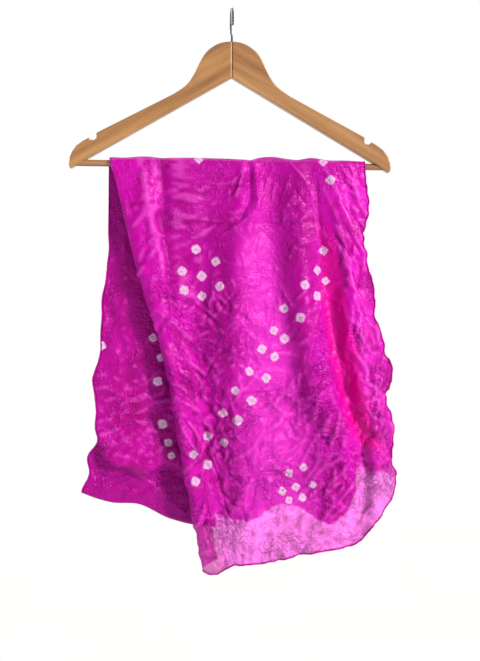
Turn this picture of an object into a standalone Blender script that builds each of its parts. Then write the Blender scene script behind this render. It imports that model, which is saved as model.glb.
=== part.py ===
"""A tie-dyed silk dupatta stole, hung over the trouser bar of a wooden hanger.

The stole is one long strip of silk.  It is folded once across its length, and the two plies
are laid over the bar together, so four stretches of cloth show: the front fall, the shorter
ply under it, the back fall, and the return ply in front of it, which turns round the fold at
the bottom of the back.

Metres, +Z up.  The origin is where the hook rests on a rail.  X runs along the trouser bar,
and -Y is the front.  Lengths below are in millimetres and are turned to metres by MM.
"""
import math
from collections import namedtuple

import bmesh
import bpy
from mathutils import Vector

MM = 0.001
SEAM_GAP = 0.3

# Hanger, 445 mm wide over the ends of its arms
HANGER_THICKNESS = 13.0
HANGER_TOP_Z = -44.0
EDGE_ROUNDING = 1.6
BAR_AXIS_DROP = 169.5
BAR_RADIUS = 4.5
BAR_SOCKET_END_X = 217.5
BAR_SOCKET_START_X = 150.0
BAR_SIDES = 24
EDGE_SEGMENTS = 2
EDGE_ANGLE = 60.0
HUMP_STEPS = 3
NOTCH_STEPS = 6
BAR_AXIS_Z = HANGER_TOP_Z - BAR_AXIS_DROP

# Hook, a bent steel wire whose inner top is the origin
WIRE_RADIUS = 1.7
HOOK_INNER_RADIUS = 16.0
HOOK_FILLET_RADIUS = 6.0
HOOK_TIP_ANGLE = 205.0
STEM_DEPTH_IN_WOOD = 22.0
WIRE_SIDES = 10
STEM_BORE_SIDES = 16
BORE_OVERRUN = 5.0
STEM_ROWS = 4
FILLET_ROWS = 5
LOOP_ROWS = 26
# The rounded tip of the wire: share of its radius, and how far on in radii
WireTip = namedtuple("WireTip", "share reach")
WIRE_TIP = [WireTip(0.85, 0.5), WireTip(0.45, 0.9)]

# Cloth
CLOTH_WALL = 1.2
UNDER_PLY_Y = 5.45
OUTER_PLY_Y = 7.1
STATION_STEP = 139.1
HEM_RADIUS = 1.2
HEM_CLEARANCE = 0.25
HEM_SIDES = 6
HEM_SMOOTHED_BELOW = 5.5
SHARP_ANGLE = 35.0

# How finely each wall is divided, in grid columns and rows
FRONT_STEPS_PER_FOLD = 3
FRONT_ROWS = 40
CROWN_ROWS = 8
UNDER_COLUMNS = 24
UNDER_ROWS = 14
BACK_STEPS_PER_FOLD = 2
BACK_ROWS = 14
RETURN_ROWS = 13
TUCK_ROWS = 4
TURN_ROWS = 4
COVER_SAMPLES = 90

# Half of the hanger's outline, from the top of the hump to the middle of the underside, as
# distance out from the middle and height below the top of the hump
OutlinePoint = namedtuple("OutlinePoint", "out drop")
HUMP = [
    OutlinePoint(0.0, 0.0),
    OutlinePoint(11.0, 1.2),
    OutlinePoint(22.5, 5.3),
    OutlinePoint(35.4, 15.5),
    OutlinePoint(45.0, 30.6),
    OutlinePoint(54.6, 50.0),
    OutlinePoint(64.2, 62.5),
    OutlinePoint(80.3, 73.8),
]
NOTCH_CENTRE = OutlinePoint(190.2, 134.0)
NOTCH_RADIUS = 5.0
NOTCH_INNER_CORNER = OutlinePoint(185.8, 129.2)
NOTCH_OUTER_CORNER = OutlinePoint(194.8, 135.2)
ARM_END = [
    OutlinePoint(204.6, 140.8),
    OutlinePoint(213.0, 147.3),
    OutlinePoint(218.6, 154.8),
    OutlinePoint(221.6, 163.0),
    OutlinePoint(222.5, 172.5),
    OutlinePoint(221.0, 177.3),
    OutlinePoint(218.6, 176.9),
]
UNDERSIDE = [OutlinePoint(196.0, 163.4), OutlinePoint(0.0, 49.6)]

# Lines that run down the front fall, from its left edge to its right edge: the crests and
# the hollows of its folds.  x0 to x4 and out0 to out4 are the distance along the bar and the
# distance in front of the bar's axis at the bar and at each STATION_STEP below it, lift is
# how far the line rides up off the bar, and hem is the height of the hem there.
FrontLine = namedtuple(
    "FrontLine", "name x0 x1 x2 x3 x4 out0 out1 out2 out3 out4 lift hem"
)
FRONT_LINES = [
    FrontLine("turned_edge", -168, -112, -72, -42, -18, 7.7, 8.0, 8.6, 8.8, 8.8, 0.3, -755),
    FrontLine("left_fold", -164, -132, -91, -66, -39, 10.4, 13.5, 15, 15, 12, 1.2, -766),
    FrontLine("left_crest", -148, -122, -82, -59, -35, 11.2, 20, 22, 20, 15.2, 0.9, -772),
    FrontLine("left_slope", -118, -101, -68, -47, -27, 11.0, 18.5, 20.5, 20, 16.4, 2.8, -773),
    FrontLine("knee_line", -92, -82, -58, -40, -20, 8.8, 15, 17, 17, 15, 1.4, -773),
    FrontLine("left_hollow", -24, -42, -44, -28, -10, 8.8, 12, 13.5, 14.5, 13, 1.6, -768),
    FrontLine("dark_slope", 4, -17, -20, -6, 3, 8.8, 19, 21.5, 21, 16, 1.2, -761),
    FrontLine("pinch_crest", 27, 6, 4, 14, 16, 11.5, 27, 31, 29, 21, 0.4, -761),
    FrontLine("bright_slope", 40, 32, 42, 56, 54, 9.6, 20, 23, 23, 18, 3.6, -757),
    FrontLine("main_hollow", 58, 61, 79, 98, 92, 8.8, 12, 14, 15.5, 14.5, 4.8, -749),
    FrontLine("right_crest", 88, 93, 110, 146, 132, 11.5, 24, 31, 25, 18, 0.9, -743),
    FrontLine("deep_hollow", 111, 124, 152, 181, 170, 8.8, 8.8, 9.4, 13.5, 13, 3.6, -734),
    FrontLine("flap_crest", 134, 153, 171, 197, 187, 11.8, 18, 24, 23, 18, 0.9, -712),
    FrontLine("flap_slope", 160, 172, 196, 209, 205, 10.5, 15, 18.5, 18, 14, 1.2, -692),
    FrontLine("right_edge", 184, 187, 214, 222, 224, 8.2, 11, 13, 12, 10, 0.1, -668),
]

# Ruffles of the right edge: height, how far it stands out, and half its length
Ruffle = namedtuple("Ruffle", "z out half")
RIGHT_RUFFLES = [
    Ruffle(-262, 5, 22),
    Ruffle(-318, -5, 20),
    Ruffle(-385, 3, 20),
    Ruffle(-430, -3, 18),
    Ruffle(-497, 6, 20),
    Ruffle(-541, -6, 17),
    Ruffle(-582, 6, 18),
    Ruffle(-616, -3, 14),
    Ruffle(-650, 5, 16),
]

# Lines that run down the back fall, from the photo's left to its right.  back0 to back4 are
# the distance behind the bar's axis, and fold is the height of the fold at the bottom.
BackLine = namedtuple(
    "BackLine", "name x0 x1 x2 x3 x4 back0 back1 back2 back3 back4 fold"
)
BACK_LINES = [
    BackLine("left_edge", -167, -170, -184, -192, -216, 8.0, 13, 17, 20, 22, -666),
    BackLine("left_swell", -149, -148, -154, -160, -174, 9.5, 18, 24, 27, 27, -680),
    BackLine("left_dip", -120, -116, -121, -124, -130, 8.2, 13, 16, 20, 22, -683),
    BackLine("second_swell", -88, -84, -82, -84, -86, 9.5, 22, 30, 31, 29, -704),
    BackLine("middle_dip", -42, -46, -40, -40, -40, 8.2, 12, 15, 18, 20, -714),
    BackLine("middle_swell", 2, 0, 6, 4, 6, 9.5, 24, 32, 34, 31, -716),
    BackLine("right_dip", 48, 50, 52, 54, 54, 8.2, 12, 14, 17, 19, -702),
    BackLine("right_swell", 92, 96, 98, 102, 100, 9.5, 22, 29, 31, 28, -694),
    BackLine("flap_dip", 132, 136, 138, 140, 138, 8.2, 12, 14, 17, 19, -704),
    BackLine("flap_swell", 162, 162, 160, 158, 156, 9.5, 18, 22, 22, 22, -692),
    BackLine("right_edge", 183, 181, 178, 174, 170, 8.0, 11, 13, 15, 18, -674),
]
LEFT_RUFFLES = [
    Ruffle(-330, -1.5, 14),
    Ruffle(-398, 3, 18),
    Ruffle(-470, -3, 18),
    Ruffle(-510, 5, 16),
    Ruffle(-556, -2, 14),
    Ruffle(-594, -6, 15),
    Ruffle(-618, 7, 14),
    Ruffle(-666, 9, 18),
]

# Creases of the front fall: the middle of each, half its length, half its width, its slant in
# degrees from level, and how far it stands out (or in, when it is negative)
Crease = namedtuple("Crease", "name x z half width slant rise")
FRONT_CREASES = [
    Crease("knee_upper", -117, -257, 24, 10, -79, 2.2),
    Crease("knee_lower", -120, -287, 17, 9, 50, 1.6),
    Crease("level_left", -102, -266, 40, 8, 5, -2.0),
    Crease("level_middle", -33, -296, 36, 8, 0, -2.0),
    Crease("level_right", 67, -296, 46, 8, 2, -2.0),
    Crease("pinch_upper", 24, -248, 25, 6, 85, 3.0),
    Crease("pinch_foot", 10, -291, 24, 11, 48, 1.5),
    Crease("flap_edge_upper", 136, -243, 26, 7, -64, 3.0),
    Crease("flap_edge_lower", 163, -297, 42, 7, -67, 3.5),
    Crease("slant_low", 24, -514, 22, 11, 45, 1.7),
    Crease("band_edge_upper", 132, -514, 30, 8, -76, 3.0),
    Crease("band_edge_middle", 150, -561, 30, 8, -62, 3.0),
    Crease("band_edge_foot", 179, -609, 20, 9, -10, 3.0),
    Crease("cross_upper", 94, -539, 24, 8, 30, 2.2),
    Crease("cross_middle", 46, -590, 24, 10, 35, 1.8),
    Crease("cross_slant", 71, -573, 22, 8, -50, 2.0),
    Crease("level_low", -14, -640, 32, 10, 2, -1.8),
    Crease("knot_upper", 13, -670, 26, 9, 60, 2.4),
    Crease("knot_left", -13, -716, 22, 8, -32, 2.4),
    Crease("knot_right", 36, -694, 36, 8, 22, 2.6),
    Crease("knot_foot", -17, -743, 24, 7, 42, 2.0),
    Crease("right_slant", 119, -635, 26, 8, -40, 2.6),
    Crease("right_dent", 147, -615, 20, 7, 60, -2.0),
    Crease("right_lower", 166, -656, 24, 8, -60, 2.2),
    Crease("left_run", -71, -539, 40, 8, -80, 2.4),
    Crease("left_run_foot", -53, -615, 30, 8, -72, 2.2),
    Crease("hem_swag", 136, -705, 28, 9, -45, -2.2),
    Crease("centre_fan", -22, -420, 40, 9, -62, 2.0),
    Crease("crest_dent", 58, -452, 34, 9, 28, -2.4),
    Crease("shoulder_dent", -86, -395, 34, 8, -40, -2.0),
]
FRONT_OUT_LEAST = 7.5
# The creases fade in across the lines from the turned edge to the left fold
CREASES_FROM = 0.6
CREASES_EASE = 0.9

# Creases of the return ply, where it shows to the left of the front fall
RETURN_CREASES = [
    Crease("sag_level", -136, -562, 40, 9, 2, -2.2),
    Crease("sag_slant", -154, -528, 26, 9, -25, 2.0),
    Crease("sag_right", -113, -594, 34, 9, -15, 2.0),
    Crease("side_dent", -158, -440, 36, 9, 60, -1.8),
    Crease("below_ridge", -99, -668, 40, 9, -12, 2.4),
]
RETURN_BACK_LEAST = 5.4

# How far the plies between the falls follow the waves of the outer ones, where those stand
# further from the bar's axis than cloth that hangs straight down
STRAIGHT_DEPTH = 8.8
UNDER_FOLLOW = 0.2
UNDER_FOLLOW_FROM = 0.2
UNDER_EDGE_MARGIN = 8.0
UNDER_EDGE_EASE = 30.0
COVER_STEPS = (-24, -16, -8, 0, 8, 16, 24)
PLY_CLEARANCE = 3.4
RETURN_FOLLOW = 0.3
RETURN_EASE = 90.0
# The slack of the return ply sags forward into a ridge over the fold at the foot of the back:
# the height of the ridge on each back line, how far it stands out, and how far it tucks in
RIDGE_Z = [-594, -620, -631, -623, -640, -646, -640, -632, -636, -630, -622]
RIDGE_OUT = 3.2
RIDGE_HALF = 26.0
TUCK_IN = 5.0
TUCK_DROP = 16.0
BOTTOM_TURN = 4.2
SEAM_RISE = 2.5

# The short ply under the front fall: its sides at the bar and at its foot, and its hem as
# the share across it and the height there
UNDER_LEFT = (-160.0, -30.0)
UNDER_RIGHT = (178.0, 172.0)
HemPoint = namedtuple("HemPoint", "share z")
UNDER_HEM = [
    HemPoint(0.0, -672),
    HemPoint(0.25, -690),
    HemPoint(0.45, -676),
    HemPoint(0.6, -690),
    HemPoint(0.8, -707),
    HemPoint(0.93, -692),
    HemPoint(1.0, -660),
]

# Materials: sRGB colours with roughness and metallic values
Finish = namedtuple("Finish", "red green blue roughness metallic")
SILK = Finish(0.78, 0.07, 0.60, 0.42, 0.0)
SILK_UNDER = Finish(0.70, 0.05, 0.53, 0.45, 0.0)
VARNISHED_BEECH = Finish(0.70, 0.50, 0.31, 0.38, 0.0)
BRIGHT_STEEL = Finish(0.70, 0.71, 0.73, 0.25, 1.0)


def clear_scene():
    for item in list(bpy.data.objects):
        bpy.data.objects.remove(item, do_unlink=True)


def to_linear(value):
    return value / 12.92 if value <= 0.04045 else ((value + 0.055) / 1.055) ** 2.4


def material(name, finish):
    made = bpy.data.materials.new(name)
    made.use_nodes = True
    shader = made.node_tree.nodes["Principled BSDF"]
    colour = [to_linear(v) for v in (finish.red, finish.green, finish.blue)]
    shader.inputs["Base Color"].default_value = (*colour, 1.0)
    shader.inputs["Roughness"].default_value = finish.roughness
    shader.inputs["Metallic"].default_value = finish.metallic
    made.diffuse_color = (*colour, 1.0)
    return made


def new_object(name, mesh, finish_material):
    mesh.materials.append(finish_material)
    placed = bpy.data.objects.new(name, mesh)
    bpy.context.scene.collection.objects.link(placed)
    mesh.shade_smooth()
    mesh.set_sharp_from_angle(angle=math.radians(SHARP_ANGLE))
    return placed


def mesh_from(name, points, faces):
    """A mesh from points in millimetres, with its faces turned outwards."""
    mesh = bpy.data.meshes.new(name)
    mesh.from_pydata([Vector(p) * MM for p in points], [], faces)
    shape = bmesh.new()
    shape.from_mesh(mesh)
    bmesh.ops.recalc_face_normals(shape, faces=shape.faces)
    shape.to_mesh(mesh)
    shape.free()
    return mesh


def blend(a, b, t):
    return a + (b - a) * t


def ease(t):
    t = min(1.0, max(0.0, t))
    return t * t * (3 - 2 * t)


def curve_through(values, at):
    """A smooth curve through evenly spaced values (Catmull-Rom), read at a fractional index."""
    last = len(values) - 1
    at = min(max(at, 0.0), last)
    i = min(int(at), last - 1)
    t = at - i
    p1, p2 = values[i], values[i + 1]
    p0 = values[i - 1] if i > 0 else 2 * p1 - p2
    p3 = values[i + 2] if i + 2 <= last else 2 * p2 - p1
    return 0.5 * (
        2 * p1
        + (p2 - p0) * t
        + (2 * p0 - 5 * p1 + 4 * p2 - p3) * t**2
        + (3 * p1 - p0 - 3 * p2 + p3) * t**3
    )


def ruffle(ruffles, z):
    """How far an edge stands out at a height, from its table of ruffles."""
    return sum(r.out * math.exp(-(((z - r.z) / r.half) ** 2)) for r in ruffles)


def crease_rise(creases, x, z):
    """How far a table of creases lifts the cloth at one place."""
    total = 0.0
    for crease in creases:
        slant = math.radians(crease.slant)
        along = (x - crease.x) * math.cos(slant) + (z - crease.z) * math.sin(slant)
        across = (z - crease.z) * math.cos(slant) - (x - crease.x) * math.sin(slant)
        fade = math.exp(-((along / crease.half) ** 4))
        total += crease.rise * fade * math.exp(-((across / crease.width) ** 2))
    return total


def front_point(u, z):
    """The middle of the front fall's wall at line position u and height z."""
    station = (BAR_AXIS_Z - z) / STATION_STEP
    x = curve_through([curve_through(line[1:6], station) for line in FRONT_LINES], u)
    out = curve_through([curve_through(line[6:11], station) for line in FRONT_LINES], u)
    near_edge = ease((u - (len(FRONT_LINES) - 4)) / 3)
    x += near_edge * ruffle(RIGHT_RUFFLES, z)
    shown = ease((u - CREASES_FROM) / CREASES_EASE)
    if z < BAR_AXIS_Z - 1 and shown > 0:
        out = max(FRONT_OUT_LEAST, out + shown * crease_rise(FRONT_CREASES, x, z))
    return Vector((x, -out, z))


def back_point(u, z):
    """The middle of the back fall's wall at line position u and height z."""
    station = (BAR_AXIS_Z - z) / STATION_STEP
    x = curve_through([curve_through(line[1:6], station) for line in BACK_LINES], u)
    back = curve_through([curve_through(line[6:11], station) for line in BACK_LINES], u)
    near_edge = ease(1 - u / 1.5)
    return Vector((x - near_edge * ruffle(LEFT_RUFFLES, z), back, z))


def over_bar(rear, front, crown):
    """Points over the bar from a rear point to a front one, both level with its axis."""
    points = []
    for k in range(CROWN_ROWS):
        turn = math.pi * k / CROWN_ROWS
        share = ease(k / CROWN_ROWS)
        reach = blend(rear.y, -front.y, share)
        height = crown * math.sin(turn)
        sideways = blend(rear.x, front.x, share)
        points.append(Vector((sideways, reach * math.cos(turn), BAR_AXIS_Z + height)))
    return points


def spread(first, last, count):
    return [blend(first, last, k / (count - 1)) for k in range(count)]


def wall(name, rows, finish_material):
    """A closed wall of cloth on both sides of a grid of points."""
    down, across = len(rows), len(rows[0])
    half = CLOTH_WALL / 2
    front, back = [], []
    for i in range(down):
        for j in range(across):
            along_u = rows[i][min(j + 1, across - 1)] - rows[i][max(j - 1, 0)]
            along_v = rows[min(i + 1, down - 1)][j] - rows[max(i - 1, 0)][j]
            normal = along_v.cross(along_u).normalized()
            front.append(rows[i][j] + normal * half)
            back.append(rows[i][j] - normal * half)
    count = down * across
    faces = []
    for i in range(down - 1):
        for j in range(across - 1):
            a, b = i * across + j, i * across + j + 1
            c, d = b + across, a + across
            faces.append((a, b, c, d))
            faces.append((d + count, c + count, b + count, a + count))
    rim = list(range(across))
    rim += [i * across + across - 1 for i in range(1, down)]
    rim += [(down - 1) * across + j for j in range(across - 2, -1, -1)]
    rim += [i * across for i in range(down - 2, 0, -1)]
    for a, b in zip(rim, rim[1:] + rim[:1]):
        faces.append((b, a, a + count, b + count))
    return new_object(name, mesh_from(name, front + back, faces), finish_material)


def front_rows():
    """The grid of the front fall, from behind the bar, over it and down to the hem."""
    last = len(FRONT_LINES) - 1
    grid = []
    for u in spread(0.0, last, last * FRONT_STEPS_PER_FOLD + 1):
        at_bar = front_point(u, BAR_AXIS_Z)
        rear = Vector((at_bar.x, OUTER_PLY_Y, BAR_AXIS_Z))
        lift = curve_through([line.lift for line in FRONT_LINES], u)
        hem = curve_through([line.hem for line in FRONT_LINES], u)
        crown = over_bar(rear, at_bar, OUTER_PLY_Y + max(lift, 0.0))
        crown += [front_point(u, z) for z in spread(BAR_AXIS_Z, hem, FRONT_ROWS)]
        grid.append(crown)
    return [list(row) for row in zip(*grid)]


def front_out_at(x, z):
    """How far the front fall stands out in front of x at height z."""
    last = len(FRONT_LINES) - 1
    points = [front_point(u, z) for u in spread(1.0, last, COVER_SAMPLES)]
    for a, b in zip(points, points[1:]):
        if a.x <= x <= b.x:
            return blend(-a.y, -b.y, (x - a.x) / max(b.x - a.x, 1e-6))
    return -points[0].y if x < points[0].x else -points[-1].y


def under_rows():
    """The grid of the short ply that lies behind the front fall."""
    shares = [p.share for p in UNDER_HEM]
    heights = [p.z for p in UNDER_HEM]
    foot_z = min(heights)
    grid = []
    for share in spread(0.0, 1.0, UNDER_COLUMNS):
        k = max(i for i, s in enumerate(shares[:-1]) if s <= share)
        within = (share - shares[k]) / (shares[k + 1] - shares[k])
        hem = curve_through(heights, k + within)
        column = []
        for z in spread(BAR_AXIS_Z, hem, UNDER_ROWS):
            down = (BAR_AXIS_Z - z) / (BAR_AXIS_Z - foot_z)
            left = blend(UNDER_LEFT[0], UNDER_LEFT[1], down)
            right = blend(UNDER_RIGHT[0], UNDER_RIGHT[1], down)
            x = blend(left, right, share)
            cover = [front_out_at(x + step, z) for step in COVER_STEPS]
            slack = max(0.0, sum(cover) / len(cover) - STRAIGHT_DEPTH)
            past_edge = x - front_point(0.0, z).x - UNDER_EDGE_MARGIN
            sway = UNDER_FOLLOW * slack * ease(down / UNDER_FOLLOW_FROM)
            sway *= ease(past_edge / UNDER_EDGE_EASE)
            sway = max(0.0, min(sway, min(cover[1:-1]) - UNDER_PLY_Y - PLY_CLEARANCE))
            column.append(Vector((x, -UNDER_PLY_Y - sway, z)))
        rear = Vector((column[0].x, UNDER_PLY_Y, BAR_AXIS_Z))
        grid.append(over_bar(rear, column[0], UNDER_PLY_Y) + column)
    return [list(row) for row in zip(*grid)]


def back_foot(u):
    return curve_through([line.fold for line in BACK_LINES], u)


def return_point(u, z):
    """The middle of the return ply's wall, which lies between the bar and the back fall."""
    behind = back_point(u, z)
    down = ease((BAR_AXIS_Z - z) / RETURN_EASE)
    y = UNDER_PLY_Y + RETURN_FOLLOW * max(0.0, behind.y - STRAIGHT_DEPTH) * down
    above = z - curve_through(RIDGE_Z, u)
    if above > 0:
        y -= RIDGE_OUT * math.exp(-((above / RIDGE_HALF) ** 2))
    else:
        y += blend(-RIDGE_OUT, TUCK_IN, ease(-above / TUCK_DROP))
    y -= down * crease_rise(RETURN_CREASES, behind.x, z)
    return Vector((behind.x, max(y, RETURN_BACK_LEAST), z))


def back_places():
    last = len(BACK_LINES) - 1
    return spread(0.0, last, last * BACK_STEPS_PER_FOLD + 1)


def return_rows():
    """The grid of the return ply, from the bar down and round the fold at the foot."""
    top = BAR_AXIS_Z - SEAM_GAP
    grid = []
    for u in back_places():
        foot = back_foot(u)
        turn_z = foot + BOTTOM_TURN
        ridge = curve_through(RIDGE_Z, u)
        tucked = ridge - TUCK_DROP
        heights = spread(top, ridge + RIDGE_HALF, RETURN_ROWS)
        heights += [ridge + RIDGE_HALF / 2, ridge, ridge - TUCK_DROP / 2, tucked]
        heights += spread(tucked, turn_z, TUCK_ROWS)[1:]
        column = [return_point(u, z) for z in heights]
        near, far = column[-1], back_point(u, turn_z)
        centre, radius = (near + far) / 2, (far.y - near.y) / 2
        for k in range(1, TURN_ROWS + 1):
            turn = math.pi * k / TURN_ROWS
            y = centre.y - radius * math.cos(turn)
            column.append(Vector((centre.x, y, turn_z - BOTTOM_TURN * math.sin(turn))))
        column.append(back_point(u, turn_z + SEAM_RISE))
        grid.append(column)
    return [list(row) for row in zip(*grid)]


def back_rows():
    """The grid of the back fall, from the rear of the bar to just above the fold."""
    top = BAR_AXIS_Z - SEAM_GAP
    grid = []
    for u in back_places():
        foot_z = back_foot(u) + BOTTOM_TURN + SEAM_RISE + SEAM_GAP
        column = [back_point(u, z) for z in spread(top - SEAM_RISE, foot_z, BACK_ROWS)]
        column[0].y = OUTER_PLY_Y
        grid.append([column[0] + Vector((0, 0, SEAM_RISE))] + column)
    return [list(row) for row in zip(*grid)]


def rolled_hem(name, edge, inner, finish_material):
    """A thin rolled hem along an edge of a wall: edge are its points, inner the next ones in."""
    reach = HEM_RADIUS + SEAM_GAP + HEM_CLEARANCE
    last = len(edge) - 1
    centres = []
    for i, point in enumerate(edge):
        along = (edge[min(i + 1, last)] - edge[max(i - 1, 0)]).normalized()
        outward = point - inner[i]
        outward = (outward - along * outward.dot(along)).normalized()
        centres.append(point + outward * reach)
    for _ in range(2):
        smoothed = list(centres)
        for i in range(1, last):
            if (centres[i + 1] - centres[i - 1]).length < HEM_SMOOTHED_BELOW:
                smoothed[i] = (centres[i - 1] + centres[i] * 2 + centres[i + 1]) / 4
        centres = smoothed
    rings, faces = [], []
    for i, centre in enumerate(centres):
        ahead = centres[min(i + 1, len(centres) - 1)] - centres[max(i - 1, 0)]
        ahead.normalize()
        side = (edge[i] - inner[i]).normalized()
        side = (side - ahead * side.dot(ahead)).normalized()
        up = ahead.cross(side)
        for k in range(HEM_SIDES):
            angle = 2 * math.pi * (k + 0.5) / HEM_SIDES
            rings.append(centre + (side * math.cos(angle) + up * math.sin(angle)) * HEM_RADIUS)
    for i in range(len(centres) - 1):
        for k in range(HEM_SIDES):
            a, b = i * HEM_SIDES + k, i * HEM_SIDES + (k + 1) % HEM_SIDES
            faces.append((a, b, b + HEM_SIDES, a + HEM_SIDES))
    faces.append(tuple(range(HEM_SIDES)))
    faces.append(tuple(range(len(rings) - HEM_SIDES, len(rings))))
    return new_object(name, mesh_from(name, rings, faces), finish_material)


def hump_outline():
    """The hump's outline as a smooth curve through its points."""
    outs = [p.out for p in HUMP]
    drops = [p.drop for p in HUMP]
    places = [k / HUMP_STEPS for k in range((len(HUMP) - 1) * HUMP_STEPS + 1)]
    return [OutlinePoint(curve_through(outs, at), curve_through(drops, at)) for at in places]


def notch_outline():
    """The strap notch, as an arc from its inner corner round to its outer corner."""
    start = math.atan2(
        NOTCH_CENTRE.drop - NOTCH_INNER_CORNER.drop, NOTCH_INNER_CORNER.out - NOTCH_CENTRE.out
    )
    end = math.atan2(
        NOTCH_CENTRE.drop - NOTCH_OUTER_CORNER.drop, NOTCH_OUTER_CORNER.out - NOTCH_CENTRE.out
    )
    end += 2 * math.pi
    arc = []
    for k in range(1, NOTCH_STEPS):
        angle = blend(start, end, k / NOTCH_STEPS)
        arc.append(
            OutlinePoint(
                NOTCH_CENTRE.out + NOTCH_RADIUS * math.cos(angle),
                NOTCH_CENTRE.drop - NOTCH_RADIUS * math.sin(angle),
            )
        )
    return [NOTCH_INNER_CORNER] + arc + [NOTCH_OUTER_CORNER]


def cylinder(name, start, end, radius, sides):
    """A closed cylinder between two points, in millimetres."""
    axis = Vector(end) - Vector(start)
    shape = bmesh.new()
    bmesh.ops.create_cone(
        shape,
        cap_ends=True,
        segments=sides,
        radius1=radius * MM,
        radius2=radius * MM,
        depth=axis.length * MM,
    )
    mesh = bpy.data.meshes.new(name)
    shape.to_mesh(mesh)
    shape.free()
    turn = axis.to_track_quat("Z", "Y").to_matrix().to_4x4()
    mesh.transform(turn)
    middle = (Vector(start) + Vector(end)) / 2 * MM
    for vertex in mesh.vertices:
        vertex.co += middle
    return mesh


def cutter(name, start, end, radius, sides):
    tool = bpy.data.objects.new(name, cylinder(name, start, end, radius, sides))
    bpy.context.scene.collection.objects.link(tool)
    tool.hide_render = True
    tool.display_type = "WIRE"
    return tool


def hanger_arm(name, side, finish_material, cutters):
    """One half of the wooden hanger: side is -1 for the photo's left and 1 for its right."""
    outline = hump_outline() + notch_outline() + ARM_END + UNDERSIDE
    middle = SEAM_GAP / 2
    shape = bmesh.new()
    corners = []
    for point in outline:
        x = side * max(point.out, middle)
        z = HANGER_TOP_Z - point.drop
        corners.append(shape.verts.new(Vector((x, -HANGER_THICKNESS / 2, z)) * MM))
    face = shape.faces.new(corners)
    grown = bmesh.ops.extrude_face_region(shape, geom=[face])
    moved = [item for item in grown["geom"] if isinstance(item, bmesh.types.BMVert)]
    bmesh.ops.translate(shape, verts=moved, vec=Vector((0, HANGER_THICKNESS * MM, 0)))
    bmesh.ops.recalc_face_normals(shape, faces=shape.faces)
    mesh = bpy.data.meshes.new(name)
    shape.to_mesh(mesh)
    shape.free()
    arm = new_object(name, mesh, finish_material)
    rounding = arm.modifiers.new("rounded_edges", "BEVEL")
    rounding.width = EDGE_ROUNDING * MM
    rounding.segments = EDGE_SEGMENTS
    rounding.limit_method = "ANGLE"
    rounding.angle_limit = math.radians(EDGE_ANGLE)
    for tool in cutters:
        cut = arm.modifiers.new("cut_" + tool.name, "BOOLEAN")
        cut.operation = "DIFFERENCE"
        cut.solver = "EXACT"
        cut.object = tool
    return arm


def hook_path():
    """The wire's centreline, from inside the wood, up the stem and round to the tip."""
    loop_radius = HOOK_INNER_RADIUS + WIRE_RADIUS
    centre_z = -HOOK_INNER_RADIUS
    reach = HOOK_FILLET_RADIUS + loop_radius
    fillet_z = centre_z - math.sqrt(reach**2 - HOOK_FILLET_RADIUS**2)
    stem_foot = HANGER_TOP_Z - STEM_DEPTH_IN_WOOD
    path = [Vector((0, 0, z)) for z in spread(stem_foot, fillet_z, STEM_ROWS)]
    join = math.atan2(centre_z - fillet_z, HOOK_FILLET_RADIUS)
    for k in range(1, FILLET_ROWS + 1):
        angle = blend(math.pi, math.pi - join, k / FILLET_ROWS)
        y = HOOK_FILLET_RADIUS + HOOK_FILLET_RADIUS * math.cos(angle)
        path.append(Vector((0, y, fillet_z + HOOK_FILLET_RADIUS * math.sin(angle))))
    start = math.atan2(path[-1].z - centre_z, path[-1].y)
    end = math.radians(HOOK_TIP_ANGLE)
    for k in range(1, LOOP_ROWS + 1):
        angle = blend(start, end, k / LOOP_ROWS)
        path.append(
            Vector((0, loop_radius * math.cos(angle), centre_z + loop_radius * math.sin(angle)))
        )
    return path


def hook(name, finish_material):
    """The bent wire, swept along its path with a rounded tip."""
    path = hook_path()
    tip_direction = (path[-1] - path[-2]).normalized()
    radii = [WIRE_RADIUS] * len(path)
    end = path[-1]
    for tip in WIRE_TIP:
        path.append(end + tip_direction * WIRE_RADIUS * tip.reach)
        radii.append(WIRE_RADIUS * tip.share)
    rings, faces = [], []
    for i, point in enumerate(path):
        ahead = (path[min(i + 1, len(path) - 1)] - path[max(i - 1, 0)]).normalized()
        side = Vector((1, 0, 0))
        up = ahead.cross(side)
        for k in range(WIRE_SIDES):
            angle = 2 * math.pi * k / WIRE_SIDES
            rings.append(point + (side * math.cos(angle) + up * math.sin(angle)) * radii[i])
    for i in range(len(path) - 1):
        for k in range(WIRE_SIDES):
            a, b = i * WIRE_SIDES + k, i * WIRE_SIDES + (k + 1) % WIRE_SIDES
            faces.append((a, b, b + WIRE_SIDES, a + WIRE_SIDES))
    faces.append(tuple(range(WIRE_SIDES)))
    faces.append(tuple(range(len(rings) - WIRE_SIDES, len(rings))))
    return new_object(name, mesh_from(name, rings, faces), finish_material)


def build_hanger():
    beech = material("varnished_beech", VARNISHED_BEECH)
    steel = material("bright_steel", BRIGHT_STEEL)
    stem_bore = cutter(
        "stem_bore",
        (0, 0, HANGER_TOP_Z - STEM_DEPTH_IN_WOOD - SEAM_GAP),
        (0, 0, HANGER_TOP_Z + BORE_OVERRUN),
        WIRE_RADIUS + SEAM_GAP,
        STEM_BORE_SIDES,
    )
    for name, side in (("left_arm", -1), ("right_arm", 1)):
        socket = cutter(
            name + "_socket",
            (side * BAR_SOCKET_START_X, 0, BAR_AXIS_Z),
            (side * BAR_SOCKET_END_X, 0, BAR_AXIS_Z),
            BAR_RADIUS + SEAM_GAP,
            BAR_SIDES,
        )
        hanger_arm(name, side, beech, [socket, stem_bore])
    end = BAR_SOCKET_END_X - SEAM_GAP
    bar = cylinder("trouser_bar", (-end, 0, BAR_AXIS_Z), (end, 0, BAR_AXIS_Z), BAR_RADIUS, BAR_SIDES)
    new_object("trouser_bar", bar, beech)
    hook("hook", steel)


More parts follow.
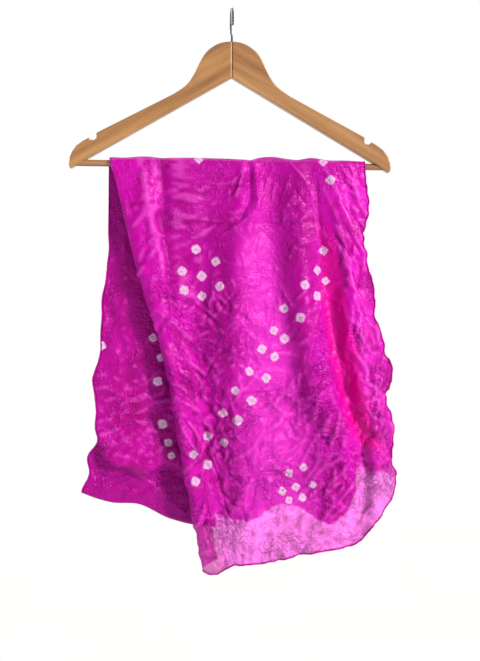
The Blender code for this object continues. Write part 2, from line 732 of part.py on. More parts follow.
def build_stole():
    silk = material("magenta_silk", SILK)
    silk_under = material("magenta_silk_under", SILK_UNDER)
    front = front_rows()
    wall("front_fall", front, silk)
    wall("front_under_ply", under_rows(), silk_under)
    wall("back_return_ply", return_rows(), silk_under)
    wall("back_fall", back_rows(), silk)
    # The hem at the foot starts just past the left fold, where the turned edge is out of sight
    first = FRONT_STEPS_PER_FOLD + 1
    rolled_hem("front_end_hem", front[-1][first:], front[-2][first:], silk)
    edge = [row[-1] for row in front]
    inner = [row[-2] for row in front]
    rolled_hem("front_side_hem", edge, inner, silk)


def main():
    clear_scene()
    build_hanger()
    build_stole()


main()
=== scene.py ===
"""A thread-bound, magenta-dyed silk stole over the trouser bar of a wooden hanger.

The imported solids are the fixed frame.  Every stretch of cloth is woven again here as a thin
shell on the form of its solid, with the creases that the silk dried with, and the wood and
the wire get their finishes.

The shells are drawn in millimetres and turned to metres by MM when they are made.
"""
import math
from collections import namedtuple

import bpy
import numpy as np
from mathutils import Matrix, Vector


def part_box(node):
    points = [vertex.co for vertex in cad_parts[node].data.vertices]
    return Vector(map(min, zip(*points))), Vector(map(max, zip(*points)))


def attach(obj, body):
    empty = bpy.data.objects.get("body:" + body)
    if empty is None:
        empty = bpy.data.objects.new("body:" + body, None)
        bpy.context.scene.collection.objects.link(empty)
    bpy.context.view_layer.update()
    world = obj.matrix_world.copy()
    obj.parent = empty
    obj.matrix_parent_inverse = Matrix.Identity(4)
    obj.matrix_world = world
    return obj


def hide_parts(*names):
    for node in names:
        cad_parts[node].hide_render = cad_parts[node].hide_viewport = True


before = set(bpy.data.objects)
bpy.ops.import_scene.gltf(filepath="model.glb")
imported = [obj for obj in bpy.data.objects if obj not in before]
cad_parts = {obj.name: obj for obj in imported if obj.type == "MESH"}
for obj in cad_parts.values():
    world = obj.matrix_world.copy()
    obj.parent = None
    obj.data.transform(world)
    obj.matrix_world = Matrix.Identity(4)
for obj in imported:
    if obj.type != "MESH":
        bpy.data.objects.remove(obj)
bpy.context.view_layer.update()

MM = 0.001

# Where the photo's camera stands: level, a little to the left of square on
CAMERA_DISTANCE = 1.5
CAMERA_YAW = math.radians(5.5)
CAMERA_TARGET = Vector((0.0115, 0.0, -0.442))
CAMERA_SENSOR = 36.0
CAMERA_LENS = 59.1
PHOTO_HEIGHT = 661

# The trouser bar's axis, read from its node
BAR_LOW, BAR_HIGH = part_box("trouser_bar")
BAR_AXIS_Z = (BAR_LOW[2] + BAR_HIGH[2]) / 2 / MM

# Silk: its thickness, the spacing of a sheet's points and the radius of its rolled hems
SILK_THICKNESS = 0.3
GRID_STEP = 1.8
HEM_RADIUS = 1.15
INNER_HEM_RADIUS = 0.9

# How far the plies lie from the bar's axis: the inner and outer ones on the bar, the least
# that the creased front keeps, and cloth that hangs straight down
UNDER_PLY_Y = 5.45
OUTER_PLY_Y = 7.1
LEAST_FRONT_DEPTH = 7.2
STRAIGHT_DEPTH = 8.8

# The heights at which the fold lines are given lie this far apart
STATION_STEP = 139.1
MIDDLE_STATION = 2.0
FINE_PLACES = 1200

# How finely each sheet is woven: its columns, and its rows in their own order
FRONT_GRID = (231, 18, 303)
UNDER_GRID = (91, 10, 151)
RETURN_GRID = (181, 240, 14)
BACK_GRID = (181, 241)

FrontLine = namedtuple(
    "FrontLine", "name x0 x1 x2 x3 x4 out0 out1 out2 out3 out4 lift hem"
)
# Lines down the front fall from its left edge to its right: place along the bar and distance
# in front of the bar at the bar and at each STATION_STEP below it, rise over the bar, hem
FRONT_LINES = [
    FrontLine("turned_edge", -168, -112, -72, -42, -18, 7.7, 8.0, 8.6, 8.8, 8.8, 0.3, -755),
    FrontLine("left_fold", -164, -132, -91, -66, -39, 10.4, 13.5, 15, 15, 12, 1.2, -766),
    FrontLine("left_crest", -148, -122, -82, -59, -35, 11.2, 20, 22, 20, 15.2, 0.9, -772),
    FrontLine("left_slope", -118, -101, -68, -47, -27, 11.0, 18.5, 20.5, 20, 16.4, 2.8, -773),
    FrontLine("knee_line", -92, -82, -58, -40, -20, 8.8, 15, 17, 17, 15, 1.4, -773),
    FrontLine("left_hollow", -24, -42, -44, -28, -10, 8.8, 12, 13.5, 14.5, 13, 1.6, -768),
    FrontLine("dark_slope", 4, -17, -20, -6, 3, 8.8, 19, 21.5, 21, 16, 1.2, -761),
    FrontLine("pinch_crest", 27, 6, 4, 14, 16, 11.5, 27, 31, 29, 21, 0.4, -761),
    FrontLine("bright_slope", 40, 32, 42, 56, 54, 9.6, 20, 23, 23, 18, 3.6, -757),
    FrontLine("main_hollow", 58, 61, 79, 98, 92, 8.8, 12, 14, 15.5, 14.5, 4.8, -749),
    FrontLine("right_crest", 88, 93, 110, 146, 132, 11.5, 24, 31, 25, 18, 0.9, -743),
    FrontLine("deep_hollow", 111, 124, 152, 181, 170, 8.8, 8.8, 9.4, 13.5, 13, 3.6, -734),
    FrontLine("flap_crest", 134, 153, 171, 197, 187, 11.8, 18, 24, 23, 18, 0.9, -712),
    FrontLine("flap_slope", 160, 172, 196, 209, 205, 10.5, 15, 18.5, 18, 14, 1.2, -692),
    FrontLine("right_edge", 184, 187, 214, 222, 224, 8.2, 11, 13, 12, 10, 0.1, -668),
]
LEFT_FOLD = 1

BackLine = namedtuple(
    "BackLine", "name x0 x1 x2 x3 x4 back0 back1 back2 back3 back4 fold ridge"
)
# Lines down the back fall, with the height of the fold at its foot and of the sagging ridge
# of the return ply in front of it
BACK_LINES = [
    BackLine("left_edge", -167, -170, -184, -192, -216, 8.0, 13, 17, 20, 22, -666, -594),
    BackLine("left_swell", -149, -148, -154, -160, -174, 9.5, 18, 24, 27, 27, -680, -620),
    BackLine("left_dip", -120, -116, -121, -124, -130, 8.2, 13, 16, 20, 22, -683, -631),
    BackLine("second_swell", -88, -84, -82, -84, -86, 9.5, 22, 30, 31, 29, -704, -623),
    BackLine("middle_dip", -42, -46, -40, -40, -40, 8.2, 12, 15, 18, 20, -714, -640),
    BackLine("middle_swell", 2, 0, 6, 4, 6, 9.5, 24, 32, 34, 31, -716, -646),
    BackLine("right_dip", 48, 50, 52, 54, 54, 8.2, 12, 14, 17, 19, -702, -640),
    BackLine("right_swell", 92, 96, 98, 102, 100, 9.5, 22, 29, 31, 28, -694, -632),
    BackLine("flap_dip", 132, 136, 138, 140, 138, 8.2, 12, 14, 17, 19, -704, -636),
    BackLine("flap_swell", 162, 162, 160, 158, 156, 9.5, 18, 22, 22, 22, -692, -630),
    BackLine("right_edge", 183, 181, 178, 174, 170, 8.0, 11, 13, 15, 18, -674, -622),
]

# Bands of the front painted lighter, darker or redder for the light: a painted lit band on the
# bright slope, painted shade on the darker slopes and a painted red glow where light comes
# through the flap; the middle of each and its half width, in the photo's pixels from the bar down
PaintedBand = namedtuple("PaintedBand", "px py half")
# A painted lit band, paler, on the slope that faces the light
LIT_SLOPE_BAND = [
    PaintedBand(252, 190, 14),
    PaintedBand(258, 250, 20),
    PaintedBand(266, 320, 24),
    PaintedBand(274, 390, 34),
    PaintedBand(276, 450, 42),
    PaintedBand(276, 560, 52),
]
# Painted shade, darker, on the slopes turned from the light
SHADED_SLOPE_MIDDLE = [
    PaintedBand(198, 150, 42),
    PaintedBand(208, 220, 32),
    PaintedBand(218, 330, 20),
    PaintedBand(222, 400, 14),
]
SHADED_SLOPE_RIGHT = [
    PaintedBand(292, 150, 28),
    PaintedBand(292, 230, 22),
    PaintedBand(296, 290, 18),
    PaintedBand(300, 340, 14),
]
# A painted red glow, where light comes through the flap onto the hollow beside it
RED_GLOW_BAND = [
    PaintedBand(322, 205, 6),
    PaintedBand(330, 260, 10),
    PaintedBand(338, 330, 13),
    PaintedBand(350, 385, 14),
    PaintedBand(358, 420, 13),
    PaintedBand(374, 450, 10),
    PaintedBand(378, 458, 8),
]

Ruffle = namedtuple("Ruffle", "z out half")
RIGHT_RUFFLES = [
    Ruffle(-262, 5, 22), Ruffle(-318, -5, 20), Ruffle(-385, 3, 20), Ruffle(-430, -3, 18),
    Ruffle(-497, 6, 20), Ruffle(-541, -6, 17), Ruffle(-582, 6, 18), Ruffle(-616, -3, 14),
    Ruffle(-650, 5, 16),
]
LEFT_RUFFLES = [
    Ruffle(-330, -1.5, 14), Ruffle(-398, 3, 18), Ruffle(-470, -3, 18), Ruffle(-510, 5, 16),
    Ruffle(-556, -2, 14), Ruffle(-594, -6, 15), Ruffle(-618, 7, 14), Ruffle(-666, 9, 18),
]

# The sag of the return ply into a ridge, which stands out further where no front hangs over
# it, the roll of its free edge, and its turn round the fold at the foot
RIDGE_OUT = 3.2
RIDGE_HALF = 26.0
RIDGE_FREE_X = -52.0
RETURN_ROLL, RETURN_ROLL_DEPTH = 34.0, 4.0
FREE_SAG = 5.0
TUCK_IN = 5.0
TUCK_DROP = 16.0
BOTTOM_TURN = 4.2
RETURN_FOLLOW = 0.3
LEAST_RETURN_DEPTH = 5.3

# The short ply under the front fall: how far it follows the front's waves and stays clear of
# them, and where the front is read to know its waves
UNDER_FOLLOW = 0.2
PLY_CLEARANCE = 3.4
COVER_STEPS = (-24, -12, 0, 12, 24)

# Its sides at the bar and at its foot, its hem, and how far and how often the hem wavers
HEM_WAVER = 1.6
HEM_RUN = 330
WAVER_LUMPS = ((21, 71), (9, 72))
UNDER_LEFT = (-160.0, -30.0)
UNDER_RIGHT = (178.0, 172.0)
HemPoint = namedtuple("HemPoint", "share z")
UNDER_HEM = [
    HemPoint(0.0, -690),
    HemPoint(0.25, -700),
    HemPoint(0.45, -681),
    HemPoint(0.6, -684),
    HemPoint(0.8, -708),
    HemPoint(0.93, -694),
    HemPoint(1.0, -660),
]

# Right of this place and above this height the flap of the front is taken to lie double, so
# that no see-through single ply with its painted pale light shows there
DOUBLED_FROM_X = 150
DOUBLED_FOOT_Z = -650

# Creases by their two ends, their half width and how far they stand out (or in), in the
# order in which the eye meets them from the bar down
Crease = namedtuple("Crease", "name x z to_x to_z width rise")
FRONT_CREASES = [
    Crease("knee above", -124, -215, -116, -278, 5, 3.4),
    Crease("knee below", -116, -278, -132, -297, 4, 2.4),
    Crease("knee line", -116, -278, -99, -348, 6, 2.2),
    Crease("knee line foot", -99, -348, -95, -401, 7, 1.4),
    Crease("stripe edge", -95, -204, -94, -300, 5, -4.4),
    Crease("stripe edge, foot", -94, -300, -87, -372, 6, -3.0),
    Crease("swell by the stripe", -62, -206, -58, -290, 15, 3.4),
    Crease("slack by the drape", 116, -212, 124, -300, 16, 5.0),
    Crease("level pull, left", -142, -272, -92, -265, 3, -1.8),
    Crease("level pull, inner", -92, -265, -58, -268, 3, -1.4),
    Crease("level pull, middle", -66, -294, 0, -296, 3, -1.6),
    Crease("level pull, right", 14, -297, 115, -293, 3, -1.2),
    Crease("pinch shadow", 25, -207, 24, -261, 4, -4.2),
    Crease("pinch shadow, bend", 24, -261, 13, -284, 4, -3.4),
    Crease("pinch shadow, foot", 13, -284, -8, -302, 5, -2.0),
    Crease("pinch ridge", 31, -207, 34, -269, 4, 3.2),
    Crease("pinch ridge, foot", 34, -269, 22, -298, 5, 2.0),
    Crease("leaf by the pinch", 17, -214, 6, -255, 3, 2.0),
    Crease("leaf, small", 9, -232, 0, -253, 2.5, -1.6),
    Crease("drape edge, top", 81, -210, 94, -228, 4, 2.0),
    Crease("drape edge, bend", 94, -228, 108, -254, 4, 2.4),
    Crease("drape edge, foot", 108, -254, 115, -307, 5, 2.0),
    Crease("drape edge, inside", 118, -250, 124, -320, 6, -3.0),
    Crease("tick on the drape", 94, -323, 112, -318, 2.5, 1.8),
    Crease("flap seam, top", 126, -210, 143, -250, 3.5, 3.6),
    Crease("flap seam, upper", 143, -250, 158, -287, 3.5, 3.4),
    Crease("flap seam, lower", 158, -287, 173, -318, 3.5, 3.0),
    Crease("flap seam, foot", 173, -318, 181, -343, 3.5, 2.4),
    Crease("inner line, top", 129, -249, 144, -283, 4, 2.0),
    Crease("inner line, upper", 144, -283, 159, -347, 4, 2.6),
    Crease("inner line, lower", 159, -347, 169, -401, 4, 2.6),
    Crease("inner line, foot", 169, -401, 179, -453, 4, 2.4),
    Crease("branch", 166, -401, 158, -470, 3.5, 2.6),
    Crease("branch, foot", 158, -470, 155, -500, 3.5, 2.0),
    Crease("band edge, top", 125, -489, 137, -539, 5, 3.0),
    Crease("band edge, middle", 137, -539, 159, -580, 5, 3.2),
    Crease("band edge, lower", 159, -580, 169, -608, 4.5, 3.0),
    Crease("band edge, foot", 169, -608, 188, -612, 4, 2.6),
    Crease("pull to the dots", 34, -501, 7, -528, 3, 2.2),
    Crease("slant, middle", 42, -590, 0, -619, 4, 2.2),
    Crease("level low", -30, -647, 23, -644, 4, -2.0),
    Crease("to the knot", 25, -644, -1, -691, 4, 2.4),
    Crease("to the knot, foot", -1, -691, 2, -725, 3.5, 2.6),
    Crease("knot to the left", 2, -725, -30, -710, 3.5, 2.4),
    Crease("knot to the right", 2, -725, 36, -695, 4, 2.6),
    Crease("under hem's edge", 36, -695, 83, -681, 4, 2.0),
    Crease("knot to the corner", 2, -727, -44, -746, 3.5, 2.0),
    Crease("knot to the foot", 2, -732, -24, -760, 3, 2.2),
    Crease("knot's right foot", 4, -730, 14, -762, 4, -2.2),
    Crease("slant by the drape", 94, -539, 119, -528, 3.5, 1.8),
    Crease("cross by the drape", 67, -559, 47, -583, 3.5, 2.0),
    Crease("cross, right", 119, -635, 136, -611, 3.5, 2.4),
    Crease("dent, right", 141, -605, 136, -630, 3.5, -2.0),
    Crease("cross under the band", 125, -611, 158, -611, 3, 2.0),
    Crease("cross, middle", 94, -580, 108, -566, 3, 1.8),
    Crease("left run", -88, -470, -74, -545, 5, 2.2),
    Crease("left run, foot", -74, -545, -58, -630, 5, 2.0),
    Crease("left run, low", -58, -630, -46, -700, 4.5, 1.8),
    Crease("fan from the left", -96, -420, -60, -452, 4, 1.8),
    Crease("fan, second", -90, -395, -48, -408, 4, -1.6),
    Crease("fan, third", -70, -500, -42, -520, 4, 1.8),
    Crease("right flap, dent", 196, -540, 184, -590, 5, -2.4),
    Crease("right flap, ridge", 205, -560, 196, -640, 4, 2.0),
    Crease("hem swag, left", 110, -715, 150, -735, 5, -2.0),
    Crease("hem swag, right", 160, -655, 178, -700, 5, 2.2),
    Crease("hem swag, rise", 178, -640, 206, -660, 4, 2.2),
]
RETURN_CREASES = [
    Crease("sag, level", -172, -562, -96, -560, 4, -2.2),
    Crease("sag, upper", -176, -520, -130, -540, 4, 2.0),
    Crease("sag, slant", -186, -545, -140, -600, 4, 1.8),
    Crease("sag, right", -140, -590, -84, -606, 4, 2.0),
    Crease("ridge line", -178, -604, -128, -616, 3.5, -2.2),
    Crease("side dent", -166, -420, -150, -470, 6, -1.8),
    Crease("under the ridge", -150, -650, -90, -640, 4, 2.2),
    Crease("under the ridge, low", -186, -640, -110, -668, 4, -1.8),
    Crease("foot slant", -130, -640, -70, -690, 4, 2.0),
    Crease("side pleat", -150, -300, -146, -390, 8, 1.4),
]

# How strongly the listed creases, the dried ones and the crumple show on each sheet, and
# the seeds of the last two
Lift = namedtuple("Lift", "hand dried crumple dried_seed crumple_seed")
FRONT_LIFT = Lift(1.4, 2.3, 1.0, 11, 21)
RETURN_LIFT = Lift(1.2, 1.4, 0.8, 13, 22)
BACK_LIFT = Lift(0.0, 1.5, 1.0, 14, 23)

# The crumple between the creases runs in three slants, by the size and rise of its ridges
CRUMPLE_SLANTS = (math.radians(78), math.radians(128), math.radians(28))
CRUMPLE_SIZES = ((30, 3.2), (15, 2.6), (8, 1.1))
CRUMPLE_STRETCH = 2.3

# How far and how often its runs bend, how large an area keeps to one slant, and the share of
# a run that is ridge rather than trough
CRUMPLE_BEND, CRUMPLE_BEND_SIZE = 7, 34
CRUMPLE_AREA = 48
CRUMPLE_RIDGE = 0.35

# The silk stands up no further than this, and a crease at least this wide is a swell of the
# cloth, which gets neither a painted highlight on its top nor painted shade beside it
MOST_LIFT = 6.0
SWELL_WIDTH = 10

# Patches of small creases that the silk dried with: where their middles lie, how many there
# are, their half length, half width and rise, and the slant that most of them have
Patch = namedtuple("Patch", "name x z reach_x reach_z count half width rise slant stray")
FRONT_PATCHES = [
    Patch("left shoulder", -112, -290, 40, 70, 60, 13, 2.0, 0.75, 75, 40),
    Patch("upper middle", -40, -270, 60, 60, 60, 13, 2.0, 0.55, 20, 50),
    Patch("right of the pinch", 70, -270, 50, 55, 36, 14, 2.0, 0.5, 70, 45),
    Patch("flap", 165, -290, 24, 80, 60, 14, 1.9, 1.0, 115, 30),
    Patch("middle", 0, -420, 110, 80, 150, 14, 2.2, 0.7, 80, 60),
    Patch("inner line", 172, -430, 20, 90, 60, 14, 1.9, 1.1, 100, 30),
    Patch("lower left", -35, -580, 50, 90, 110, 15, 2.3, 1.15, 105, 45),
    Patch("lower middle", 60, -580, 60, 80, 130, 15, 2.3, 1.2, 40, 60),
    Patch("lower right", 140, -620, 40, 70, 100, 15, 2.2, 1.3, 50, 70),
    Patch("right flap", 200, -570, 22, 80, 90, 11, 1.8, 1.3, 100, 60),
    Patch("foot", 50, -715, 95, 40, 130, 14, 2.1, 1.25, 35, 60),
    Patch("knot", 5, -715, 34, 34, 50, 15, 2.0, 1.3, 60, 90),
]
RETURN_PATCHES = [
    Patch("upper", -150, -380, 60, 130, 110, 15, 2.4, 0.5, 85, 50),
    Patch("sag", -140, -560, 60, 60, 110, 18, 2.4, 0.95, 10, 40),
    Patch("below the ridge", -130, -660, 70, 30, 70, 20, 2.6, 0.9, 5, 35),
    Patch("hidden part", 40, -480, 160, 200, 160, 16, 2.4, 0.6, 60, 80),
]
BACK_PATCHES = [
    Patch("upper", 0, -330, 170, 90, 180, 15, 2.3, 0.7, 80, 60),
    Patch("lower", 0, -560, 180, 130, 360, 16, 2.4, 1.0, 30, 80),
]
UNDER_PATCHES = [Patch("all over", 40, -500, 130, 200, 150, 17, 4.0, 0.5, 60, 90)]

# How much the silk covers where another ply lies close behind it, or where it is one pale ply
COVERING_ALPHA = 0.92

# Painted light and shade laid over the dye, each by the mark on the cloth that says where it
# lies: the light of the room pales a single ply towards lilac, painted shade deepens the crease
# troughs and shaded slopes, a painted lit band lies on the bright slope, painted highlights pale
# the crease tops, and a painted red glow lies where light comes through the flap
PAINTED_LIGHT_WASHES = (
    ("thin", "#EC78DE"),
    ("deeper", "#9A027E"),
    ("painted_lit_band", "#D228BA"),
    ("painted_highlight", "#E24AC6"),
    ("painted_red_glow", "#DC0098"),
)

# Patterns of the silk in millimetres, as single lengths or across and along the cloth.  Threads
# are 0.12 mm apart and would be too fine to show, so they are drawn eleven times as coarse.
DRAWN_THREAD = 1.333
WEFT_SLUB = 33.33
WARP_SLUB = 50.0
DYE_BLOTCH = (35.71, 45.45)
FINE_CRINKLE = (2.381, 3.333)
LONG_CRINKLE = (11.11, 20.0)
CROSS_CRINKLE = (28.57, 9.091)
GATHERED_PATCH = (45.45, 62.5)
GATHER = (1.818, 1.818)
CRINKLE_RISE = 1.2

# Dye tones, from where the bath took deepest to where it took least
SHEER_TONES = ("#A80284", "#C404A4", "#DA1CC6")
# The backing plies: darker tones of the same dye, partly for plies lying double and partly painted
# shade
DOUBLED_AND_SHADED_TONES = ("#92006A", "#A60284", "#B80A9C")
HEM_TONES = ("#8C0268", "#A80484", "#C010A0")

# Tones of the wood, and how far an arm falls over its length, which its grain follows
ARM_TONES = ("#B08352", "#9C6F40", "#80552F")
BAR_TONES = ("#A8794F", "#93643E", "#7A4E2E")
ARM_FALL, ARM_REACH = 113.8, 196.0

# The studio floor, in metres
FLOOR_HALF, FLOOR_Z = 30.0, -1.12
FLOOR_CORNERS = ((-1, -1), (1, -1), (1, 1), (-1, 1))

# Patterns of the hanger, in millimetres: along and across the grain, and the wire's draw marks
BEECH_RING = (250.0, 14.29)
BEECH_FLECK = (16.67, 1.111)
GRAIN_RISE = 0.3
DRAW_MARK = (1.111, 1.111, 16.67)

# Settings that several nodes share
ADD = {"operation": "ADD"}
MULTIPLY = {"operation": "MULTIPLY"}
MULTIPLY_ADD = {"operation": "MULTIPLY_ADD"}
IN_COLOUR = {"data_type": "RGBA"}
EASED = {"interpolation_type": "SMOOTHSTEP"}

# Undyed dots, where thread was bound round the silk before it was dyed: the photo's pixel of
# their middle, and their half width in millimetres
Dot = namedtuple("Dot", "px py size")
NO_DOT = 3.0
FRONT_DOTS = [
    Dot(198, 160, 6.0), Dot(323, 162, 6.0), Dot(330, 180, 6.5), Dot(195, 250, 6.6),
    Dot(216, 261, 6.2), Dot(181, 272, 6.6), Dot(201, 276, 6.6), Dot(183, 290, 6.8),
    Dot(220, 286, 6.4), Dot(202, 296, 6.2), Dot(324, 251, 5.8), Dot(317, 270, 6.0),
    Dot(325, 281, 5.4), Dot(305, 285, 6.4), Dot(317, 296, 6.6), Dot(284, 308, 6.0),
    Dot(301, 318, 6.8), Dot(274, 330, 5.8), Dot(284, 338, 6.6), Dot(262, 349, 6.4),
    Dot(275, 357, 6.2), Dot(250, 371, 6.0), Dot(266, 378, 6.6), Dot(235, 391, 5.8),
    Dot(252, 400, 6.8), Dot(223, 413, 6.0), Dot(238, 420, 6.8), Dot(207, 436, 6.2),
    Dot(223, 443, 6.4), Dot(193, 455, 5.8), Dot(208, 465, 6.4), Dot(195, 482, 6.4),
    Dot(289, 473, 5.8), Dot(303, 468, 5.6), Dot(282, 491, 6.0), Dot(296, 487, 5.8),
    Dot(312, 485, 5.0), Dot(289, 500, 5.2), Dot(302, 498, 5.6),
]
RETURN_DOTS = [
    Dot(98, 346, 6.0), Dot(153, 338, 6.0), Dot(160, 358, 5.6), Dot(158, 381, 6.6),
    Dot(162, 424, 6.6), Dot(168, 443, 6.0), Dot(172, 455, 5.4),
]


def smooth(t):
    """Eases from 0 to 1 as t does, level at both ends."""
    t = np.clip(t, 0.0, 1.0)
    return t * t * (3 - 2 * t)


def below_bar(z, start, over):
    """Eases from 0 to 1 on the way down from the bar, from start on and over a length."""
    return smooth((BAR_AXIS_Z - start - z) / over)


def pad_ends(table, axis):
    """The table with one more row before and after it, in line with its last two."""
    first, second = np.take(table, [0], axis), np.take(table, [1], axis)
    last, before = np.take(table, [-1], axis), np.take(table, [-2], axis)
    return np.concatenate([2 * first - second, table, 2 * last - before], axis)


def knots(at, count):
    """For each place along a row of knots: the four knots round it and their weights."""
    at = np.clip(at, 0, count - 1)
    start = np.minimum(at.astype(int), count - 2)
    t = at - start
    weights = [
        0.5 * (-t + 2 * t**2 - t**3),
        0.5 * (2 - 5 * t**2 + 3 * t**3),
        0.5 * (t + 4 * t**2 - 3 * t**3),
        0.5 * (-(t**2) + t**3),
    ]
    return start, weights


def along(values, at):
    """A smooth curve (Catmull-Rom) through evenly spaced values."""
    padded = pad_ends(np.array(values, float), 0)
    start, weights = knots(np.asarray(at, float), len(values))
    return sum(weight * padded[start + k] for k, weight in enumerate(weights))


def across(table, u, v):
    """A smooth surface through a table of values, read at u along its rows and v across."""
    table = np.array(table, float)
    padded = pad_ends(pad_ends(table, 0), 1)
    from_u, weights_u = knots(u, table.shape[0])
    from_v, weights_v = knots(v, table.shape[1])
    total = 0.0
    for i, weight_u in enumerate(weights_u):
        for j, weight_v in enumerate(weights_v):
            total = total + weight_u * weight_v * padded[from_u + i, from_v + j]
    return total


def lumps(x, z, size, seed):
    """Smooth seeded noise from about -1 to 1, with lumps of the given size."""
    turns = np.random.default_rng(seed).uniform(0, 2 * math.pi, (128, 128))
    grid_x, grid_z = x / size, z / size
    cell_x, cell_z = np.floor(grid_x).astype(int), np.floor(grid_z).astype(int)
    part_x, part_z = grid_x - cell_x, grid_z - cell_z

    def corner(step_x, step_z):
        turn = turns[(cell_x + step_x) % 128, (cell_z + step_z) % 128]
        return np.cos(turn) * (part_x - step_x) + np.sin(turn) * (part_z - step_z)

    blend_x = part_x**3 * (part_x * (part_x * 6 - 15) + 10)
    blend_z = part_z**3 * (part_z * (part_z * 6 - 15) + 10)
    low = corner(0, 0) * (1 - blend_x) + corner(1, 0) * blend_x
    high = corner(0, 1) * (1 - blend_x) + corner(1, 1) * blend_x
    return 1.5 * (low * (1 - blend_z) + high * blend_z)


def crease_shape(distance, width):
    """The section of a crease: a sharp top that runs out softly on both sides."""
    return np.exp(-(np.sqrt(distance**2 + (0.35 * width) ** 2) - 0.35 * width) / width)


def hand_creases(creases, x, z):
    """How far the listed creases lift the cloth."""
    total = np.zeros_like(x)
    for crease in creases:
        run = np.array([crease.to_x - crease.x, crease.to_z - crease.z], float)
        length = np.hypot(*run)
        run /= length
        far = (x - crease.x) * run[0] + (z - crease.z) * run[1]
        aside = (x - crease.x) * run[1] - (z - crease.z) * run[0]
        beyond = np.maximum(0, np.abs(far - length / 2) - length / 2)
        fade = np.exp(-((beyond / (2.2 * crease.width)) ** 2))
        total += crease.rise * fade * crease_shape(aside, crease.width)
    return total


def dried_creases(patches, x, z, seed):
    """The many small creases, sown patch by patch from one seed."""
    rng = np.random.default_rng(seed)
    total = np.zeros_like(x)
    for patch in patches:
        for _ in range(patch.count):
            middle_x = patch.x + rng.normal(0, 0.55) * patch.reach_x
            middle_z = patch.z + rng.normal(0, 0.55) * patch.reach_z
            slant = math.radians(patch.slant + rng.normal(0, 0.6) * patch.stray)
            half = patch.half * rng.uniform(0.5, 1.7)
            width = patch.width * rng.uniform(0.7, 1.6)
            rise = patch.rise * rng.uniform(0.35, 1.25) * rng.choice([1, 1, -1])
            bow = rng.normal(0, 0.12)
            near = (np.abs(x - middle_x) < 2.2 * half) & (np.abs(z - middle_z) < 2.2 * half)
            step_x, step_z = x[near] - middle_x, z[near] - middle_z
            far = step_x * math.cos(slant) + step_z * math.sin(slant)
            aside = step_z * math.cos(slant) - step_x * math.sin(slant) - bow * far**2 / half
            total[near] += rise * np.exp(-((far / half) ** 4)) * crease_shape(aside, width)
    return total


def crumple(x, z, seed):
    """The unevenness between the creases: sharp-topped runs of three sizes, in three slants."""
    bend_x = x + CRUMPLE_BEND * lumps(x, z, CRUMPLE_BEND_SIZE, seed)
    bend_z = z + CRUMPLE_BEND * lumps(x, z, CRUMPLE_BEND_SIZE, seed + 1)
    total = np.zeros_like(x)
    shares = np.zeros_like(x)
    for k, slant in enumerate(CRUMPLE_SLANTS):
        share = np.maximum(0, 0.25 + lumps(x, z, CRUMPLE_AREA, seed + 10 + k)) ** 2 + 0.01
        run = bend_x * math.cos(slant) + bend_z * math.sin(slant)
        aside = bend_z * math.cos(slant) - bend_x * math.sin(slant)
        for j, (size, rise) in enumerate(CRUMPLE_SIZES):
            ridge = np.abs(lumps(run / CRUMPLE_STRETCH, aside, size, seed + 20 + 5 * k + j))
            total += share * rise * (CRUMPLE_RIDGE - ridge)
        shares += share
    worn = 0.4 + 0.75 * below_bar(z, 0, 400) + 0.3 * lumps(x, z, 70, seed + 5)
    return total / shares * worn


def eased(lift):
    """Creases as high as the silk can stand: the highest of them are eased down."""
    return MOST_LIFT * np.tanh(lift / MOST_LIFT)


def sharp_tops(lift, reach=3):
    """How far each place stands above the cloth just round it, as the tops of creases do."""
    wide = np.pad(lift, reach, mode="edge")
    middle, before, after = slice(reach, -reach), slice(None, -2 * reach), slice(2 * reach, None)
    around = wide[before, middle] + wide[after, middle] + wide[middle, before] + wide[middle, after]
    return lift - around / 4


def ruffle(ruffles, z):
    """How far the ruffles move an edge sideways at height z."""
    return sum(r.out * np.exp(-(((z - r.z) / r.half) ** 2)) for r in ruffles)


def read_lines(lines, u, station):
    """The place along the bar and the distance from it that a table of fold lines gives."""
    places, depths = [line[1:6] for line in lines], [line[6:11] for line in lines]
    return across(places, u, station), across(depths, u, station)


def even_columns(lines, columns):
    """Places along the lines that are evenly spaced on the cloth at half its height."""
    fine = np.linspace(0, len(lines) - 1, FINE_PLACES)
    x, depth = read_lines(lines, fine, np.full_like(fine, MIDDLE_STATION))
    steps = np.hypot(np.diff(x), np.diff(depth))
    walked = np.concatenate([[0], np.cumsum(steps)])
    return np.interp(np.linspace(0, walked[-1], columns), walked, fine)


def front_surface(u, z):
    """The middle of the front fall at line position u and height z."""
    x, out = read_lines(FRONT_LINES, u, (BAR_AXIS_Z - z) / STATION_STEP)
    near_edge = smooth((u - (len(FRONT_LINES) - 4)) / 3)
    return np.stack([x + near_edge * ruffle(RIGHT_RUFFLES, z), -out, z], axis=-1)


def back_surface(u, z):
    """The middle of the back fall at line position u and height z."""
    x, back = read_lines(BACK_LINES, u, (BAR_AXIS_Z - z) / STATION_STEP)
    near_edge = smooth(1 - u / 1.5)
    return np.stack([x - near_edge * ruffle(LEFT_RUFFLES, z), back, z], axis=-1)


def over_bar(x, rear_y, front_y, crown, steps):
    """Rows of points over the bar from its rear to its front, both level with its axis."""
    turn = np.linspace(0, math.pi, steps, endpoint=False)[:, None]
    y = (rear_y + (front_y - rear_y) * smooth(turn / math.pi)) * np.cos(turn)
    z = BAR_AXIS_Z + crown * np.sin(turn)
    return np.stack(np.broadcast_arrays(x, y, z), axis=-1)


def normals(grid):
    """Unit normals of a grid of points, on the side that faces the viewer of the front."""
    down = np.gradient(grid, axis=0)
    sideways = np.gradient(grid, axis=1)
    normal = np.cross(down, sideways)
    return normal / np.maximum(np.linalg.norm(normal, axis=-1, keepdims=True), 1e-9)


def walked(grid, axis):
    """How far each point lies along the cloth from the grid's first row or column."""
    steps = np.linalg.norm(np.diff(grid, axis=axis), axis=-1)
    start = np.zeros_like(np.take(steps, [0], axis))
    return np.concatenate([start, np.cumsum(steps, axis)], axis)


